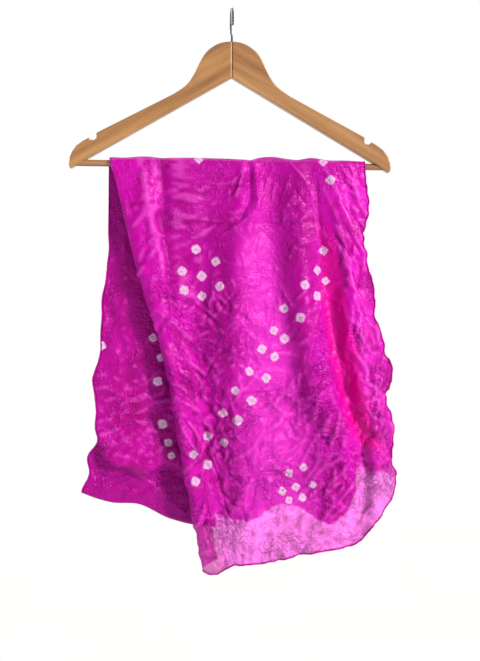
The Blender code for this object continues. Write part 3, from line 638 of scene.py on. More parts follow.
def front_grid(columns, crown_rows, fall_rows):
    """The front fall from the rear of the bar, over it and down to its hem."""
    u = even_columns(FRONT_LINES, columns)
    hem = along([line.hem for line in FRONT_LINES], u)
    lift = np.maximum(along([line.lift for line in FRONT_LINES], u), 0)
    share = np.linspace(0, 1, fall_rows)[:, None]
    z = BAR_AXIS_Z + (hem - BAR_AXIS_Z) * share
    fall = front_surface(np.broadcast_to(u, z.shape), z)
    x_bar, y_bar = fall[0, :, 0], fall[0, :, 1]
    crown = over_bar(x_bar, OUTER_PLY_Y, -y_bar, OUTER_PLY_Y + lift, crown_rows)
    return np.concatenate([crown, fall]), u


def front_depth(x, z):
    """How far the front fall stands out in front of each place."""
    u = np.linspace(LEFT_FOLD, len(FRONT_LINES) - 1, 90)
    spread_u = np.broadcast_to(u, z.shape + u.shape)
    points = front_surface(spread_u, np.broadcast_to(z[..., None], spread_u.shape))
    ordered = np.maximum.accumulate(points[..., 0], axis=-1)
    after = np.clip(np.sum(ordered <= x[..., None], axis=-1), 1, len(u) - 1)[..., None]
    x_before, x_after = (np.take_along_axis(ordered, k, -1)[..., 0] for k in (after - 1, after))
    y_before, y_after = (
        np.take_along_axis(points[..., 1], k, -1)[..., 0] for k in (after - 1, after)
    )
    share = np.clip((x - x_before) / np.maximum(x_after - x_before, 1e-6), 0, 1)
    return -(y_before + (y_after - y_before) * share)


def under_place(share, down):
    """The place along the bar at a share across the short ply and a share down it."""
    left = UNDER_LEFT[0] + (UNDER_LEFT[1] - UNDER_LEFT[0]) * down
    right = UNDER_RIGHT[0] + (UNDER_RIGHT[1] - UNDER_RIGHT[0]) * down
    return left + (right - left) * share


def under_grid(columns, crown_rows, fall_rows):
    """The short ply behind the front fall, with its own stretch over the bar."""
    share = np.linspace(0, 1, columns)
    knot = np.interp(share, [p.share for p in UNDER_HEM], np.arange(len(UNDER_HEM)))
    hem = along([p.z for p in UNDER_HEM], knot) + hem_waver(share)
    foot = min(p.z for p in UNDER_HEM)
    z = BAR_AXIS_Z + (hem - BAR_AXIS_Z) * np.linspace(0, 1, fall_rows)[:, None]
    down = (BAR_AXIS_Z - z) / (BAR_AXIS_Z - foot)
    x = under_place(share, down)
    cover = np.array([front_depth(x + step, z) for step in COVER_STEPS])
    slack = np.maximum(0, cover.mean(axis=0) - STRAIGHT_DEPTH)
    turned = front_surface(np.zeros_like(z), z)[..., 0]
    sway = UNDER_FOLLOW * slack * smooth(down * 5) * smooth((x - turned - 8) / 30)
    room = cover[1:-1].min(axis=0) - UNDER_PLY_Y - PLY_CLEARANCE
    y = -UNDER_PLY_Y - np.maximum(0, np.minimum(sway, room))
    fall = np.stack([x, y, z], axis=-1)
    x_bar, y_bar = fall[0, :, 0], fall[0, :, 1]
    crown = over_bar(x_bar, UNDER_PLY_Y, -y_bar, UNDER_PLY_Y, crown_rows)
    return np.concatenate([crown, fall])


def hem_waver(share):
    """How far the crumpled hem of the short ply wavers, by its place along the hem."""
    run = share * HEM_RUN
    return sum(HEM_WAVER * lumps(run, run * 0, size, seed) for size, seed in WAVER_LUMPS)


def under_hem_height(x):
    """How high the hem of the short ply lies behind each place of the front fall."""
    share = np.array([p.share for p in UNDER_HEM])
    down = np.array([(BAR_AXIS_Z - p.z) for p in UNDER_HEM])
    down = down / down.max()
    hem_x = under_place(share, down)
    fine = np.linspace(0, len(share) - 1, 100)
    hem = np.interp(x, along(hem_x, fine), along([p.z for p in UNDER_HEM], fine))
    hem += hem_waver(np.clip((x - hem_x[0]) / (hem_x[-1] - hem_x[0]), 0, 1))
    return np.where(x > hem_x[-1] + 1, 0.0, hem)


def return_surface(u, z):
    """The return ply, which sags into a ridge and tucks in under it."""
    behind = back_surface(u, z)
    slack = np.maximum(0, behind[..., 1] - STRAIGHT_DEPTH) * below_bar(z, 0, 90)
    y = UNDER_PLY_Y + RETURN_FOLLOW * slack
    above = z - along([line.ridge for line in BACK_LINES], u) - 2.5 * np.sin(u * 5.1)
    free = smooth((RIDGE_FREE_X - behind[..., 0]) / 45)
    out = RIDGE_OUT + FREE_SAG * free
    sag = -out * np.exp(-((above / RIDGE_HALF) ** 2))
    tuck = -out + (TUCK_IN + out) * smooth(-above / TUCK_DROP)
    return np.stack([behind[..., 0], y + np.where(above > 0, sag, tuck), z], axis=-1)


def return_grid(columns, fall_rows, turn_rows):
    """The return ply from the bar down, round the fold at the foot, to the back fall."""
    u = even_columns(BACK_LINES, columns)
    turn_z = along([line.fold for line in BACK_LINES], u) + BOTTOM_TURN
    top = BAR_AXIS_Z - SILK_THICKNESS
    z = top + (turn_z - top) * np.linspace(0, 1, fall_rows)[:, None]
    fall = return_surface(np.broadcast_to(u, z.shape), z)
    near, far = fall[-1], back_surface(u, turn_z)
    turn = np.linspace(0, math.pi, turn_rows)[1:, None]
    y = (near[:, 1] + far[:, 1]) / 2 - (far[:, 1] - near[:, 1]) / 2 * np.cos(turn)
    x = near[:, 0] + (far[:, 0] - near[:, 0]) * turn / math.pi
    foot = np.stack([x, y, turn_z - BOTTOM_TURN * np.sin(turn)], axis=-1)
    return np.concatenate([fall, foot]), turn_z, u


def back_grid(columns, fall_rows):
    """The back fall from the rear of the bar to the fold at the foot."""
    u = even_columns(BACK_LINES, columns)
    foot = along([line.fold for line in BACK_LINES], u) + BOTTOM_TURN + SILK_THICKNESS
    top = BAR_AXIS_Z - SILK_THICKNESS
    z = top + (foot - top) * np.linspace(0, 1, fall_rows)[:, None]
    fall = back_surface(np.broadcast_to(u, z.shape), z)
    settle = smooth((top - z) / 30)
    fall[..., 1] = OUTER_PLY_Y + (fall[..., 1] - OUTER_PLY_Y) * settle
    return fall


def to_photo(points):
    """The photo's pixel for each point in millimetres, by the camera's own place."""
    reach = CAMERA_LENS / CAMERA_SENSOR * PHOTO_HEIGHT
    side, depth = math.cos(CAMERA_YAW), math.sin(CAMERA_YAW)
    from_target = points * MM - np.array(CAMERA_TARGET)
    away = from_target[..., 0] * depth + from_target[..., 1] * side + CAMERA_DISTANCE
    px = 240 + reach * (from_target[..., 0] * side - from_target[..., 1] * depth) / away
    py = PHOTO_HEIGHT / 2 - reach * from_target[..., 2] / away
    return np.stack([px, py], axis=-1)


def dot_field(grid, centres, power=1.35):
    """The distance to the nearest dot's middle, where 1 is its edge: soft, turned diamonds."""
    turns = np.random.default_rng(len(centres)).normal(0, math.radians(16), len(centres))
    field = np.full(grid.shape[:2], NO_DOT)
    sideways = np.gradient(grid, axis=1)
    sideways /= np.maximum(np.linalg.norm(sideways, axis=-1, keepdims=True), 1e-9)
    upward = np.cross(normals(grid), sideways)
    for ((i, j), size), turn in zip(centres, turns):
        reach = int(2.2 * size / GRID_STEP)
        patch = (slice(max(i - reach, 0), i + reach + 1), slice(max(j - reach, 0), j + reach + 1))
        step = grid[patch] - grid[i, j]
        side, up = step @ sideways[i, j], step @ upward[i, j]
        flat_side = np.abs(side * math.cos(turn) + up * math.sin(turn))
        flat_up = np.abs(up * math.cos(turn) - side * math.sin(turn))
        near = (flat_side**power + flat_up**power) ** (1 / power) / (1.1 * size)
        field[patch] = np.minimum(field[patch], near)
    return field


def nearest_places(places, dots, outside=0.0):
    """The grid place nearest to each dot, with the dot's half width in millimetres."""
    centres = []
    for dot in dots:
        miss = np.linalg.norm(places - np.array([dot.px, dot.py]), axis=-1) + outside
        centres.append((np.unravel_index(np.argmin(miss), miss.shape), dot.size))
    return centres


def photo_dots(grid, dots, rows, columns=slice(None)):
    """The grid places that lie on the photo's dots, among the rows and columns that show."""
    outside = np.full(grid.shape[:2], 1e6)
    outside[rows, columns] = 0
    return nearest_places(to_photo(grid), dots, outside)


def painted_band(grid, band, sharp, top_ease, foot_ease):
    """How far each place lies in one of the front's bands of painted light and shade."""
    shown = to_photo(grid)
    py = shown[..., 1]
    middle = np.interp(py, [g.py for g in band], [g.px for g in band])
    half = np.interp(py, [g.py for g in band], [g.half for g in band])
    inside = np.exp(-((np.abs(shown[..., 0] - middle) / half) ** sharp))
    ends = smooth((py - band[0].py) / top_ease) * smooth((band[-1].py - py) / foot_ease)
    return inside * ends


def seven_group(x, z, spread=27.0):
    """A ring of six dots round a seventh, placed in millimetres on a side that doesn't show."""
    turns = [math.radians(60 * k + 15) for k in range(6)]
    ring = [(0.0, 0.0)] + [(math.cos(turn), math.sin(turn)) for turn in turns]
    return [Dot(x + spread * side, z + spread * up, 6.3) for side, up in ring]


def double_row(x, z, to_x, to_z, count):
    """Two staggered rows of dots that run slantwise, placed in millimetres as well."""
    dots = []
    for k in range(count):
        share = k / (count - 1)
        dots.append(Dot(x + (to_x - x) * share, z + (to_z - z) * share, 6.0))
        dots.append(Dot(x + (to_x - x) * share + 21, z + (to_z - z) * share - 12, 6.4))
    return dots


def hex_colour(code):
    """An sRGB hex colour as the linear values that Blender's shaders take."""
    parts = [int(code[i : i + 2], 16) / 255 for i in (1, 3, 5)]
    linear = [v / 12.92 if v <= 0.04045 else ((v + 0.055) / 1.055) ** 2.4 for v in parts]
    return (*linear, 1.0)


def add(tree, kind, settings=None, **inputs):
    """Adds a node with its settings, and sets or links its inputs by name or by number.

    An input may be a value, a socket, or a node, whose first output is then linked.
    """
    node = tree.nodes.new(kind)
    for key, value in (settings or {}).items():
        setattr(node, key, value)
    for key, value in inputs.items():
        socket = node.inputs[int(key[1:]) if key[1:].isdigit() else key.replace("_", " ")]
        if isinstance(value, bpy.types.Node):
            value = value.outputs[0]
        if isinstance(value, bpy.types.NodeSocket):
            tree.links.new(value, socket)
        else:
            socket.default_value = value
    return node


def new_material(name):
    """An empty material and its node tree."""
    made = bpy.data.materials.new(name)
    made.use_nodes = True
    made.node_tree.nodes.clear()
    return made, made.node_tree


def ramp(tree, factor, stops):
    """A colour ramp through (place, hex colour) stops."""
    node = add(tree, "ShaderNodeValToRGB", Fac=factor)
    band = node.color_ramp
    while len(band.elements) < len(stops):
        band.elements.new(1.0)
    for element, (place, code) in zip(band.elements, stops):
        element.position = place
        element.color = hex_colour(code)
    return node


def streaks(tree, place, across_mm, along_mm, detail):
    """Soft streaks in the cloth, by their size in millimetres across and along it."""
    repeats = (1 / across_mm, 1 / along_mm, 1.0)
    stretched = add(tree, "ShaderNodeVectorMath", MULTIPLY, _0=place, _1=repeats)
    return add(
        tree, "ShaderNodeTexNoise", Vector=stretched, Scale=1.0, Detail=detail, Roughness=0.55
    )


def threads_dye_and_painted_light(tree, place, deep, middle, light):
    """How the threads of both ways catch the light, and the colour the dye bath gave them with the
    painted light and shade of the marks laid over it.
    """
    weft = streaks(tree, place, WEFT_SLUB, DRAWN_THREAD, 2.0)
    warp = streaks(tree, place, DRAWN_THREAD, WARP_SLUB, 2.0)
    threads = add(tree, "ShaderNodeMath", ADD, _0=weft, _1=warp)
    uneven = add(tree, "ShaderNodeMath", MULTIPLY_ADD, _0=threads, _1=0.28, _2=-0.28)
    tone = add(
        tree, "ShaderNodeMath", ADD, _0=streaks(tree, place, *DYE_BLOTCH, 4.0), _1=uneven
    )
    dyed = ramp(tree, tone, [(0.25, deep), (0.5, middle), (0.78, light)])
    # Each mark lays its painted light or painted shade over the dye's colour
    for mark, code in PAINTED_LIGHT_WASHES:
        share = add(tree, "ShaderNodeAttribute", {"attribute_name": mark}).outputs["Fac"]
        painted_wash = add(tree, "ShaderNodeMix", IN_COLOUR, _0=share, _6=dyed, _7=hex_colour(code))
        dyed = painted_wash.outputs[2]
    return threads, dyed


def bound_dots(tree, place, crinkle, dyed):
    """Bound dots stay the silk's own pale colour, stained where the thread let dye through."""
    dot = add(tree, "ShaderNodeAttribute", {"attribute_name": "dye_dot"}).outputs["Fac"]
    ragged = add(tree, "ShaderNodeMath", MULTIPLY_ADD, _0=crinkle, _1=0.75, _2=-0.375)
    edge = add(tree, "ShaderNodeMath", ADD, _0=dot, _1=ragged)
    undyed = add(tree, "ShaderNodeMapRange", EASED, Value=edge, From_Min=1.12, From_Max=0.82)
    stain = add(tree, "ShaderNodeMapRange", EASED, Value=edge, From_Min=0.62, From_Max=0.1)
    bound = ramp(tree, stain, [(0.0, "#E6C0E4"), (0.5, "#E0B4DE"), (1.0, "#D4A4D4")])
    # The dye crept in along the gathers under the thread, so thin lines of it cross each dot
    crept = add(
        tree,
        "ShaderNodeMapRange",
        EASED,
        Value=streaks(tree, place, *GATHER, 1.0),
        From_Min=0.52,
        From_Max=0.66,
        To_Max=0.75,
    )
    crept_dye = hex_colour("#C458B8")
    bound = add(tree, "ShaderNodeMix", IN_COLOUR, _0=crept, _6=bound, _7=crept_dye).outputs[2]
    colour = add(tree, "ShaderNodeMix", IN_COLOUR, _0=undyed, _6=dyed, _7=bound).outputs[2]
    return undyed, colour


def crinkle_lines(tree, place, across_mm, along_mm, thin):
    """Crinkles too small for the shell: thin lines where a wandering field crosses its middle."""
    field = streaks(tree, place, across_mm, along_mm, 2.5)
    away = add(tree, "ShaderNodeMath", {"operation": "SUBTRACT"}, _0=field, _1=0.5)
    away = add(tree, "ShaderNodeMath", {"operation": "ABSOLUTE"}, _0=away)
    return add(tree, "ShaderNodeMapRange", Value=away, From_Max=thin, To_Min=1.0, To_Max=0.0)


def crinkle_height(tree, place, crinkle, undyed):
    """How far crinkles, grain and puckered dots stand up, by how worn the cloth is there."""
    worn = add(tree, "ShaderNodeAttribute", {"attribute_name": "crinkled"}).outputs["Fac"]
    long = crinkle_lines(tree, place, *LONG_CRINKLE, 0.05)
    cross = crinkle_lines(tree, place, *CROSS_CRINKLE, 0.055)
    lines = add(tree, "ShaderNodeMath", ADD, _0=long, _1=cross)
    gathered = add(
        tree,
        "ShaderNodeMapRange",
        EASED,
        Value=streaks(tree, place, *GATHERED_PATCH, 1.0),
        From_Min=0.4,
        From_Max=0.62,
        To_Min=0.35,
        To_Max=1.5,
    )
    lines = add(tree, "ShaderNodeMath", MULTIPLY, _0=lines, _1=gathered)
    grain = add(tree, "ShaderNodeMath", MULTIPLY, _0=crinkle, _1=0.55)
    height = add(tree, "ShaderNodeMath", MULTIPLY_ADD, _0=lines, _1=1.1, _2=grain)
    puckered = add(tree, "ShaderNodeMath", MULTIPLY_ADD, _0=undyed, _1=0.6, _2=height)
    return add(tree, "ShaderNodeMath", MULTIPLY, _0=puckered, _1=worn)


def sheer_cover(tree, alpha):
    """How much the sheer silk covers: more where another ply or a pale single ply is marked."""
    doubled = add(tree, "ShaderNodeAttribute", {"attribute_name": "doubled"}).outputs["Fac"]
    thin = add(tree, "ShaderNodeAttribute", {"attribute_name": "thin"}).outputs["Fac"]
    solid = add(tree, "ShaderNodeMath", ADD, _0=doubled, _1=thin)
    return add(tree, "ShaderNodeMapRange", Value=solid, To_Min=alpha, To_Max=COVERING_ALPHA)


def dyed_silk(name, alpha, deep, middle, light):
    """Hand-loomed silk dyed in a hot bath: uneven in the dye, with slubs along the weft, and painted
    light and shade laid over the dye by the cloth's marks.
    """
    made, tree = new_material(name)
    place = add(tree, "ShaderNodeAttribute", {"attribute_name": "cloth_place"}).outputs["Vector"]
    crinkle = streaks(tree, place, *FINE_CRINKLE, 3.0)
    threads, dyed = threads_dye_and_painted_light(tree, place, deep, middle, light)
    undyed, colour = bound_dots(tree, place, crinkle, dyed)
    raised = crinkle_height(tree, place, crinkle, undyed)
    gloss = add(
        tree, "ShaderNodeMapRange", Value=threads, From_Min=0.7, From_Max=1.3, To_Min=0.3, To_Max=0.42
    )
    silk = add(
        tree,
        "ShaderNodeBsdfPrincipled",
        Base_Color=colour,
        Roughness=gloss,
        IOR=1.5,
        Alpha=sheer_cover(tree, alpha) if alpha < 1 else 1.0,
        Normal=add(tree, "ShaderNodeBump", Strength=1.0, Distance=CRINKLE_RISE * MM, Height=raised),
        Specular_IOR_Level=0.42,
        Specular_Tint=hex_colour("#FF8CEC"),
    )
    add(tree, "ShaderNodeOutputMaterial", Surface=silk)
    return made


def wood_grain(tree, place, run_mm, width_mm, detail):
    """Noise drawn out along the grain, by its length and its width in millimetres."""
    repeats = [1 / (size * MM) for size in (run_mm, width_mm, width_mm)]
    stretched = add(tree, "ShaderNodeVectorMath", MULTIPLY, _0=place, _1=repeats)
    return add(
        tree, "ShaderNodeTexNoise", Vector=stretched, Scale=1.0, Detail=detail, Roughness=0.6
    )


def varnished_beech(name, slant, pale, middle, dark):
    """Steam-bent and sanded beech under clear varnish: long even grain with short flecks."""
    made, tree = new_material(name)
    place = add(tree, "ShaderNodeTexCoord").outputs["Object"]
    turned = add(tree, "ShaderNodeMapping", Vector=place, Rotation=(0, slant, 0))
    rings = wood_grain(tree, turned, *BEECH_RING, 4.0)
    flecks = wood_grain(tree, turned, *BEECH_FLECK, 1.0)
    body = ramp(tree, rings, [(0.3, dark), (0.5, middle), (0.7, pale)])
    faint = add(
        tree, "ShaderNodeMapRange", Value=flecks, From_Min=0.6, From_Max=0.72, To_Max=0.35
    )
    flecked = add(tree, "ShaderNodeMix", IN_COLOUR, _0=faint, _6=body, _7=hex_colour(dark))
    wood = add(
        tree,
        "ShaderNodeBsdfPrincipled",
        Base_Color=flecked.outputs[2],
        Roughness=0.4,
        IOR=1.52,
        Normal=add(tree, "ShaderNodeBump", Strength=0.15, Distance=GRAIN_RISE * MM, Height=rings),
        Coat_Weight=0.35,
        Coat_Roughness=0.18,
    )
    add(tree, "ShaderNodeOutputMaterial", Surface=wood)
    return made


def drawn_steel(name):
    """Nickel-plated drawn wire: bright, with faint marks along its length."""
    made, tree = new_material(name)
    place = add(tree, "ShaderNodeTexCoord").outputs["Object"]
    repeats = [1 / (size * MM) for size in DRAW_MARK]
    stretched = add(tree, "ShaderNodeVectorMath", MULTIPLY, _0=place, _1=repeats)
    marks = add(tree, "ShaderNodeTexNoise", Vector=stretched, Scale=1.0, Detail=2.0)
    steel = add(
        tree,
        "ShaderNodeBsdfPrincipled",
        Base_Color=hex_colour("#77787B"),
        Metallic=1.0,
        Roughness=add(tree, "ShaderNodeMapRange", Value=marks, To_Min=0.2, To_Max=0.36),
    )
    add(tree, "ShaderNodeOutputMaterial", Surface=steel)
    return made


def paper_floor(name):
    """Matt studio paper: plain and pale, with only the faintest cloudiness."""
    made, tree = new_material(name)
    place = add(tree, "ShaderNodeTexCoord").outputs["Object"]
    noise = add(tree, "ShaderNodeTexNoise", Vector=place, Scale=3.0, Detail=3.0)
    colour = ramp(tree, noise, [(0.3, "#DEDEDD"), (0.7, "#E1E1E1")])
    matt = add(tree, "ShaderNodeBsdfPrincipled", Base_Color=colour, Roughness=0.9)
    add(tree, "ShaderNodeOutputMaterial", Surface=matt)
    return made


def new_piece(name, points, faces, material):
    """A mesh piece of the stole that rides on its one body."""
    mesh = bpy.data.meshes.new(name)
    mesh.from_pydata((np.asarray(points) * MM).tolist(), [], faces)
    mesh.shade_smooth()
    mesh.materials.append(material)
    piece = bpy.data.objects.new(name, mesh)
    bpy.context.scene.collection.objects.link(piece)
    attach(piece, "root")
    return piece


def paint(piece, name, values):
    """Keeps one number or one vector a point on the piece, for its material to read."""
    values = np.asarray(values, float)
    kind, field = ("FLOAT", "value") if values.ndim == 1 else ("FLOAT_VECTOR", "vector")
    layer = piece.data.attributes.new(name, kind, "POINT")
    layer.data.foreach_set(field, values.ravel())


def quads(index):
    """The faces between neighbouring points of a grid, by their numbers."""
    a, b, c, d = index[:-1, :-1], index[1:, :-1], index[1:, 1:], index[:-1, 1:]
    return np.stack([a, b, c, d], axis=-1).reshape(-1, 4)


def rim_walk(index):
    """The numbers of the points all round a grid's rim."""
    return np.concatenate([index[:-1, 0], index[-1, :-1], index[:0:-1, -1], index[0, :0:-1]])


def silk_shell(name, grid, marks, material, lining=None):
    """A closed shell of silk on both sides of a grid, its hidden side woven half as fine."""
    offset = normals(grid) * SILK_THICKNESS / 2
    hidden = (grid - offset)[::2, ::2]
    points = np.concatenate([(grid + offset).reshape(-1, 3), hidden.reshape(-1, 3)])
    fine = np.arange(grid[..., 0].size).reshape(grid.shape[:2])
    coarse = fine.size + np.arange(hidden[..., 0].size).reshape(hidden.shape[:2])
    shown_faces = quads(fine)
    hidden_faces = quads(coarse)[:, ::-1]
    walk, inner = rim_walk(fine), rim_walk(coarse)
    start, middle, end = walk[0::2], walk[1::2], np.roll(walk, -2)[0::2]
    rim_faces = np.stack([end, middle, start, inner, np.roll(inner, -1)], axis=1)
    faces = shown_faces.tolist() + hidden_faces.tolist() + rim_faces.tolist()
    piece = new_piece(name, points, faces, material)
    if lining:
        piece.data.materials.append(lining)
        slots = np.zeros(len(faces), int)
        slots[len(shown_faces) : len(shown_faces) + len(hidden_faces)] = 1
        piece.data.polygons.foreach_set("material_index", slots)
    place = np.stack([walked(grid, 1), walked(grid, 0), grid[..., 0] * 0], axis=-1)
    both = [place.reshape(-1, 3), place[::2, ::2].reshape(-1, 3)]
    paint(piece, "cloth_place", np.concatenate(both))
    for mark, field in marks.items():
        field = np.broadcast_to(field, grid.shape[:2])
        paint(piece, mark, np.concatenate([field.ravel(), field[::2, ::2].ravel()]))
    return piece


def rolled_hem(name, edge, inner, radius, material, seed, sides=8):
    """A hem rolled tight and whipped down, which swells and thins along its length."""
    count = len(edge)
    ahead = np.gradient(edge, axis=0)
    ahead /= np.linalg.norm(ahead, axis=-1, keepdims=True)
    outward = edge - inner
    outward -= ahead * np.sum(outward * ahead, axis=-1, keepdims=True)
    outward /= np.maximum(np.linalg.norm(outward, axis=-1, keepdims=True), 1e-9)
    up = np.cross(ahead, outward)
    run = np.concatenate([[0], np.cumsum(np.linalg.norm(np.diff(edge, axis=0), axis=-1))])
    swell = 1 + 0.22 * lumps(run, run * 0, 7.0, seed) + 0.12 * lumps(run, run * 0, 3.0, seed + 1)
    centre = edge + outward * radius * 0.9
    turn = np.linspace(0, 2 * math.pi, sides, endpoint=False)
    ring = (
        outward[:, None] * np.cos(turn)[None, :, None] + up[:, None] * np.sin(turn)[None, :, None]
    )
    points = (centre[:, None] + ring * (radius * swell)[:, None, None]).reshape(-1, 3)
    faces = []
    for i in range(count - 1):
        for k in range(sides):
            a, b = i * sides + k, i * sides + (k + 1) % sides
            faces.append((a, a + sides, b + sides, b))
    faces.append(tuple(range(sides)))
    faces.append(tuple(reversed(range((count - 1) * sides, count * sides))))
    hem = new_piece(name, points, faces, material)
    place = np.stack([np.repeat(run, sides) * 0.3, np.tile(turn, count), points[:, 0] * 0], axis=-1)
    paint(hem, "cloth_place", place)
    for mark, value in (("dye_dot", NO_DOT), ("crinkled", 0.4), ("doubled", 1.0)):
        paint(hem, mark, np.full(len(points), value))
    return hem


def side_hems(name, grid, material, seed):
    """The rolled hems down both sides of a sheet."""
    left = rolled_hem(f"{name}_left_hem", grid[:, 0], grid[:, 2], INNER_HEM_RADIUS, material, seed)
    right = rolled_hem(
        f"{name}_right_hem", grid[:, -1], grid[:, -3], INNER_HEM_RADIUS, material, seed + 1
    )
    return [left, right]


def creased(lift, creases, patches, x, z):
    """The listed creases, the dried ones and the crumple of one sheet, in its own shares."""
    total = lift.hand * hand_creases(creases, x, z)
    total += lift.dried * dried_creases(patches, x, z, lift.dried_seed)
    return total + lift.crumple * crumple(x, z, lift.crumple_seed)


def front_cloth():
    """The outer ply of the front with its creases, frilled edge and uneven foot."""
    base, u = front_grid(*FRONT_GRID)
    x, z = base[..., 0], base[..., 2]
    on_fall = below_bar(z, -4, 22)
    shown = smooth((u - 0.55) / 0.7)
    wide = [crease for crease in FRONT_CREASES if crease.width >= SWELL_WIDTH]
    narrow = [crease for crease in FRONT_CREASES if crease.width < SWELL_WIDTH]
    small = creased(FRONT_LIFT, narrow, FRONT_PATCHES, x, z)
    lift = eased(FRONT_LIFT.hand * hand_creases(wide, x, z) + small)
    grid = base + normals(base) * (lift * shown * (0.15 + 0.85 * on_fall))[..., None]
    frill = smooth((u - len(FRONT_LINES) + 1.7) / 0.7) * on_fall
    frill = frill * (0.6 + 0.9 * np.abs(lumps(z, z * 0, 55, 40)))
    grid[..., 0] += frill * (2.2 * lumps(z, x, 13, 41) + 3.2 * lumps(z, z * 0, 27, 42))
    grid[..., 1] += frill * 4.0 * lumps(z, x, 17, 43)
    foot = smooth((base[-1, :, 2] + 26 - z) / 24) * shown
    grid[..., 2] += foot * (1.4 * lumps(x, x * 0, 12, 44) + 2.4 * lumps(x, x * 0, 29, 45))
    grid[..., 1] += foot * 3.6 * lumps(x, z, 17, 46)
    # The creases never press the outer ply into the one under it
    below = (z < BAR_AXIS_Z) & (grid[..., 1] > -LEAST_FRONT_DEPTH)
    grid[..., 1] = np.where(below, -LEAST_FRONT_DEPTH, grid[..., 1])
    return grid, base, u, small


def front_marks(grid, base, u, small):
    """Where the front is bound, worn, single or doubled, and its painted light: the single ply's
    pale, the lit band, highlights on crease tops, shade in troughs and dark bands, and the red glow
    where light comes through the flap.
    """
    x, z = base[..., 0], base[..., 2]
    past_crown = slice(FRONT_GRID[1] // 2 + 1, None)
    dots = photo_dots(grid, FRONT_DOTS, past_crown, u > LEFT_FOLD)
    turned_x = front_surface(np.zeros_like(z), z)[..., 0]
    past_turn = smooth((x - turned_x - 2) / 6) * (u > LEFT_FOLD)
    above = z - DOUBLED_FOOT_Z + 16 * lumps(x, z, 24, 47)
    doubled = smooth((x - DOUBLED_FROM_X) / 14) * smooth(above / 22)
    thin = (1 - doubled) * smooth((under_hem_height(x) - z + 1.5) / 2) * past_turn
    tops = sharp_tops(eased(small))
    # Painted bands: a red glow where light comes through the flap, a pale lit band on the bright
    # slope, and painted shade on the darker slopes
    red_share = painted_band(grid, RED_GLOW_BAND, 5, 60, 16)
    pale = painted_band(grid, LIT_SLOPE_BAND, 3, 70, 50) * (1 - thin)
    deep = 0.5 * painted_band(grid, SHADED_SLOPE_MIDDLE, 4, 10, 60) + 0.55 * painted_band(grid, SHADED_SLOPE_RIGHT, 4, 10, 60)
    worn = (0.3 + 0.6 * below_bar(z, 90, 400)) * (1 + 0.9 * lumps(x, z, 52, 48))
    # The single ply's painted pale light is full where it lies flat, and less on steep slopes and
    # sharp creases, where a crease doubles it
    steep = smooth((0.985 - np.abs(np.sum(normals(grid) * normals(base), axis=-1))) / 0.2)
    return {
        "dye_dot": dot_field(grid, dots),
        "crinkled": worn * (1 - 0.65 * red_share) * (1 - 0.4 * pale),
        "painted_red_glow": red_share,
        "painted_lit_band": pale,
        # Painted highlight on the tops of the small creases, painted shade in their troughs and on
        # the shaded bands
        "painted_highlight": 0.6 * smooth(tops - 0.2) * (1 - thin),
        "deeper": np.clip(deep + 0.6 * smooth(-tops - 0.2) * (1 - thin), 0, 1),
        "doubled": doubled,
        "thin": thin * (1 - 0.3 * steep - 0.5 * smooth((np.abs(tops) - 0.3) / 1.2)),
    }


def hang_front(silk, lining, hem_silk):
    """The outer ply of the front with its rolled hems."""
    grid, base, u, small = front_cloth()
    marks = front_marks(grid, base, u, small)
    front = silk_shell("front_silk", grid, marks, silk, lining)
    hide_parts("front_fall")
    first = int(np.argmax(u > LEFT_FOLD + 0.3))
    end_hem = rolled_hem(
        "front_end_rolled_hem", grid[-1, first:], grid[-3, first:], HEM_RADIUS, hem_silk, 31
    )
    side_hem = rolled_hem(
        "front_side_rolled_hem", grid[:, -1], grid[:, -3], HEM_RADIUS, hem_silk, 32
    )
    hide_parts("front_end_hem")
    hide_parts("front_side_hem")


def hang_under(silk, hem_silk):
    """The short inner ply of the front, which shows through the silk as a deeper tone."""
    base = under_grid(*UNDER_GRID)
    x, z = base[..., 0], base[..., 2]
    lift = dried_creases(UNDER_PATCHES, x, z, 12) * below_bar(z, 20, 40) * 0.8
    grid = base + normals(base) * np.clip(lift, -0.5, 0.8)[..., None]
    marks = {"dye_dot": NO_DOT, "crinkled": 0.5, "doubled": 1.0}
    under = silk_shell("under_silk", grid, marks, silk)
    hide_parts("front_under_ply")
    hem = rolled_hem("under_rolled_hem", grid[-1], grid[-3], INNER_HEM_RADIUS, hem_silk, 33)


def walked_in(u):
    """How far the return ply's places lie in from its left edge, in millimetres."""
    x = np.interp(u, np.arange(len(BACK_LINES)), [line.x2 for line in BACK_LINES])
    return x - x[0]


def hang_return(silk, hem_silk):
    """The ply that comes back up behind, which shows to the left of the front."""
    base, turn_z, u = return_grid(*RETURN_GRID)
    x, z = base[..., 0], base[..., 2]
    free = below_bar(z, 12, 40) * smooth((z - turn_z + 2) / 14)
    lift = eased(creased(RETURN_LIFT, RETURN_CREASES, RETURN_PATCHES, x, z))
    grid = base + normals(base) * (lift * free)[..., None]
    # The free edge on the left rolls back, away from the light
    rolled = smooth((RETURN_ROLL - walked_in(u)) / RETURN_ROLL) * free
    grid[..., 1] += RETURN_ROLL_DEPTH * rolled
    # Behind the front fall it stays clear of the short ply
    fall = slice(0, RETURN_GRID[1])
    near = (x > RIDGE_FREE_X) & (grid[..., 1] < LEAST_RETURN_DEPTH)
    grid[fall, :, 1] = np.where(near[fall], LEAST_RETURN_DEPTH, grid[fall, :, 1])
    dots = photo_dots(grid, RETURN_DOTS, fall)
    ridge = along([line.ridge for line in BACK_LINES], u)
    tops = sharp_tops(lift)
    marks = {
        "dye_dot": dot_field(grid, dots),
        "crinkled": 0.4,
        "doubled": 1.0,
        # Painted highlight on crease tops above the sag ridge, painted shade on the rolled edge and
        # under the ridge
        "painted_highlight": 0.4 * smooth(tops - 0.3) * smooth((z - ridge) / 16),
        "deeper": np.clip(0.8 * rolled + 0.95 * smooth((ridge + 4 - z) / 16), 0, 1),
    }
    piece = silk_shell("return_silk", grid, marks, silk)
    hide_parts("back_return_ply")
    side_hems("return", grid, hem_silk, 34)


